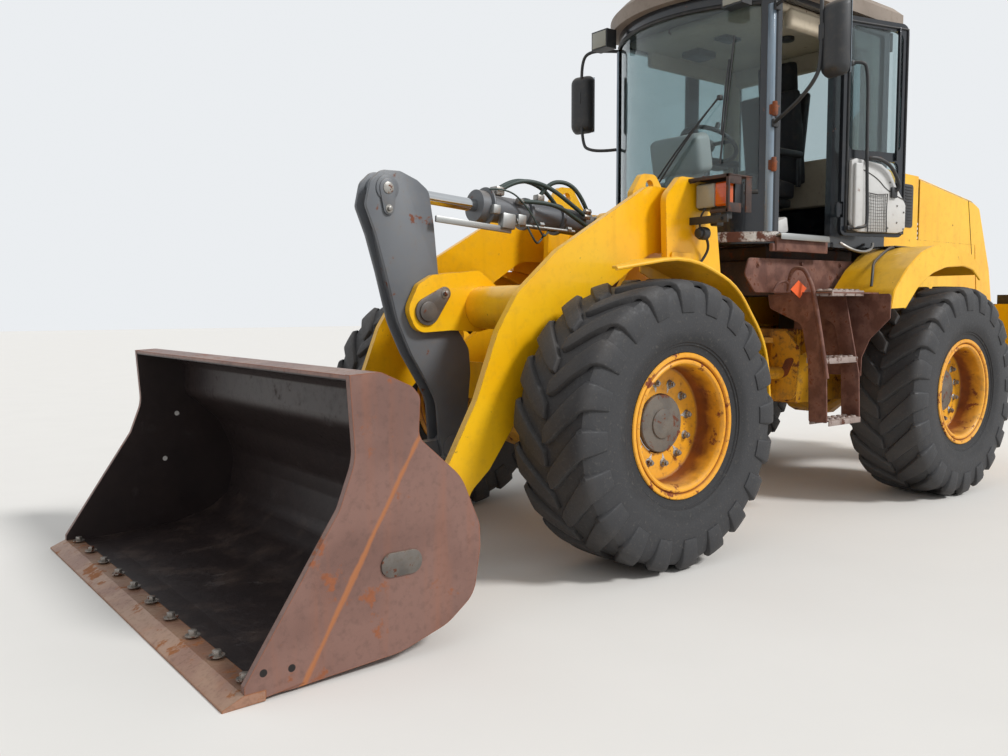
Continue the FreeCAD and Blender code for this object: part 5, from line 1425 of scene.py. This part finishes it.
ladderLook = {
    "side": ((0.551, 1.378), (0.87, 1.378), (0.977, 0.884, 0.04), (0.988, 0.6, 0.01), (0.864, 0.6, 0.01),
             (0.852, 0.95, 0.04), (0.803, 1.193, 0.08), (0.568, 1.291, 0.03)),
    "ends": (-0.41, -0.04), "treads": ((0.93, 0.61), (0.9, 0.985), (0.93, 1.395)), "holes": (6, 2),
    "hoop": ((-0.045, 0.7, 1.395), (-0.045, 0.705, 1.49), (-0.05, 0.735, 1.54), (-0.05, 0.8, 1.535),
             (-0.045, 0.84, 1.48), (-0.04, 0.892, 1.37), (-0.03, 0.99, 0.87)),
    "hook": ((0.078, 0.68, 1.396), (0.06, 0.685, 1.445), (-0.02, 0.7, 1.462), (-0.07, 0.7, 1.42),
             (-0.09, 0.7, 1.385)),
    "tag": ((0.08, 1.405), (0.0, 1.461), (-0.086, 1.414), (-0.015, 1.352)), "tagY": 0.8,
    "gusset": ((0.3, 0.66, 0.04), (0.5, 0.68, 0.06), (0.53, 1.02, 0.05), (0.42, 1.14), (0.3, 1.14)),
    "gussetHole": ((0.36, 0.8, 0.04), (0.44, 0.84, 0.04), (0.5, 0.97, 0.04), (0.42, 0.95, 0.04)),
    "gussetX": -0.44,
}


def makeLadders():
    look = ladderLook
    rear, front = look["ends"]
    sides = [across(outline(look["side"]), x, 0.012, 0.002) for x in (rear + 0.006, front - 0.006)]
    sides += [run(look["hoop"], 0.013, 12), run(look["hook"], 0.009, 10)]
    piece = finished(both(joined(sides)), "ladderSides", "rear_frame", claySteel)
    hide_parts("ladders")
    wide, deep, middle = front - rear - 0.024, 0.13, (front + rear) / 2
    collar = drum(0.022, 0.01, (0, 0, 0), sides=18, top=0.014)
    sunk(collar, lambda f: f.normal.z > 0.9, 0.003, (0, 0, -0.008))
    treads = []
    for y, z in look["treads"]:
        treads.append(slab((wide, deep, 0.008), (middle, y, z), bevel=0.002))
        for edge in (y - deep / 2, y + deep / 2):
            treads.append(slab((wide, 0.008, 0.034), (middle, edge, z - 0.013), bevel=0.002))
        for k in range(look["holes"][0]):
            for r in range(look["holes"][1]):
                place = spot(rear + 0.035 + k * (front - rear - 0.07) / 5, y - 0.03 + 0.06 * r, z + 0.008)
                treads.append(copied(collar, Matrix.Translation(place)))
    dropped(collar)
    finished(both(joined(treads)), "ladderTreads", "rear_frame", wornTread)
    finished(flatXZ(look["tag"], look["tagY"], 0.0015), "tag", "rear_frame", tagPaper)
    # drilled gusset with a long hole, seen between the wheels
    gusset = across(outline(look["gusset"]), look["gussetX"], 0.014, 0.002)
    finished(both(gusset), "frameGussets", "rear_frame", muddyEnamel)
    hole = across(outline(look["gussetHole"]), look["gussetX"] + 0.0065, 0.003)
    finished(both(hole), "gussetHoles", "rear_frame", rustyIron)


baseLook = {
    "block": ((-1.13, -0.06), 0.6, (1.3805, 1.6)), "neck": ((-1.1, -0.1), 0.49, (1.6, 1.6895)),
    "skirt": ((-0.94, 1.385, 0.02), (0.17, 1.39, 0.03), (0.275, 1.5, 0.03), (0.235, 1.6, 0.03),
              (-0.94, 1.61)),
    "bolts": ((0.15, 1.56), (-0.3, 1.575), (-0.75, 1.58), (-0.3, 1.41)),
}


def makeCabBase():
    look = baseLook
    parts = []
    for (rear, front), half, (low, high) in (look["block"], look["neck"]):
        middle = ((front + rear) / 2, 0, (high + low) / 2)
        parts.append(slab((front - rear, 2 * half, high - low), middle, bevel=0.01))
    base = finished(joined(parts), "cabPedestal", "rear_frame", scaledIron)
    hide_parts("cab_base")
    skirt = flatXZ(outline(look["skirt"]), 0.606, 0.012, 0.003)
    bolts = bolted([spot(x, 0.612, z) for x, z in look["bolts"]], 0.011, outwards)
    finished(both(joined([skirt, bolts])), "cabSkirts", "rear_frame", claySteel)


def makeCabStrip():
    # white flange of the cab floor that runs round the foot of the screen
    look = screenLook
    a, (foot, high), (x, y) = look["flangeTurn"], look["flange"], look["flangeEnd"]
    path = [row[:2] for row in overScreen((-a, 0), (a, 0), look["flangeOut"], 20)]
    piece = traced([spot(*row, foot) for row in [(x, -y)] + path + [(x, y)]])
    extruded((0, 0, high))
    close()
    finished(thickened(piece, 0.008, 0.002, 1), "cabFlange", "rear_frame", whiteStrip)


ventLook = {
    "ring": ((-1.718, 1.895, 0.025), (-1.858, 1.895, 0.025), (-1.858, 2.215, 0.025), (-1.718, 2.215, 0.025)),
    "slot": (0.1, 0.006, 0.005), "slotAt": (-1.788, 0.5285, 1.93), "slots": 13, "slotStep": 0.022,
    "seam": ((-2.75, 0.5205, 2.16), (-2.837, 0.5205, 1.731)),
}


def makeHoodParts():
    look = ventLook
    seal = flatXZ(outline(look["ring"]), 0.5225, 0.008, 0.003)
    x, y, z = look["slotAt"]
    slots = [slab(look["slot"], (x, y, z + look["slotStep"] * k), bevel=0.001) for k in range(look["slots"])]
    finished(both(joined([seal] + slots)), "cowlVents", "rear_frame", blackPlastic)
    finished(both(run(look["seam"], 0.003, 6, smooth=False)), "hoodSeams", "hood", blackPlastic)


# size and place of each glass; the amber is the outer one
rearLampLook = {
    "glass": (0.008, 0.046, 0.066), "glassAt": (-3.2125, 1.361), "reds": (0.63, 0.68), "ambers": (0.73,),
    "roof": (0.006, 0.13, 0.105), "roofAt": (0.56, 3.1375), "roofEnds": (0.377, -1.302),
}


def makeRearLamps():
    look = rearLampLook
    x, z = look["glassAt"]
    for side, name, material in (("reds", "tailLenses", redLens), ("ambers", "tailTurnLenses", amberLens)):
        glasses = [slab(look["glass"], (x, y, z), bevel=0.003) for y in look[side]]
        finished(both(joined(glasses)), name, "rear_frame", material)
    clears = [slab(look["roof"], (x, *look["roofAt"]), bevel=0.003) for x in look["roofEnds"]]
    finished(both(joined(clears)), "roofLampLenses", "rear_frame", lampGlass)


makeFenders()
makeLinkage()
makeTiltFittings()
makeBucketParts()
print("stage: fenders, linkage and bucket")
makeHeadlights()
makeLadders()
makeCabBase()
makeCabStrip()
makeHoodParts()
makeRearLamps()
print("stage: lamps, ladders and hood")
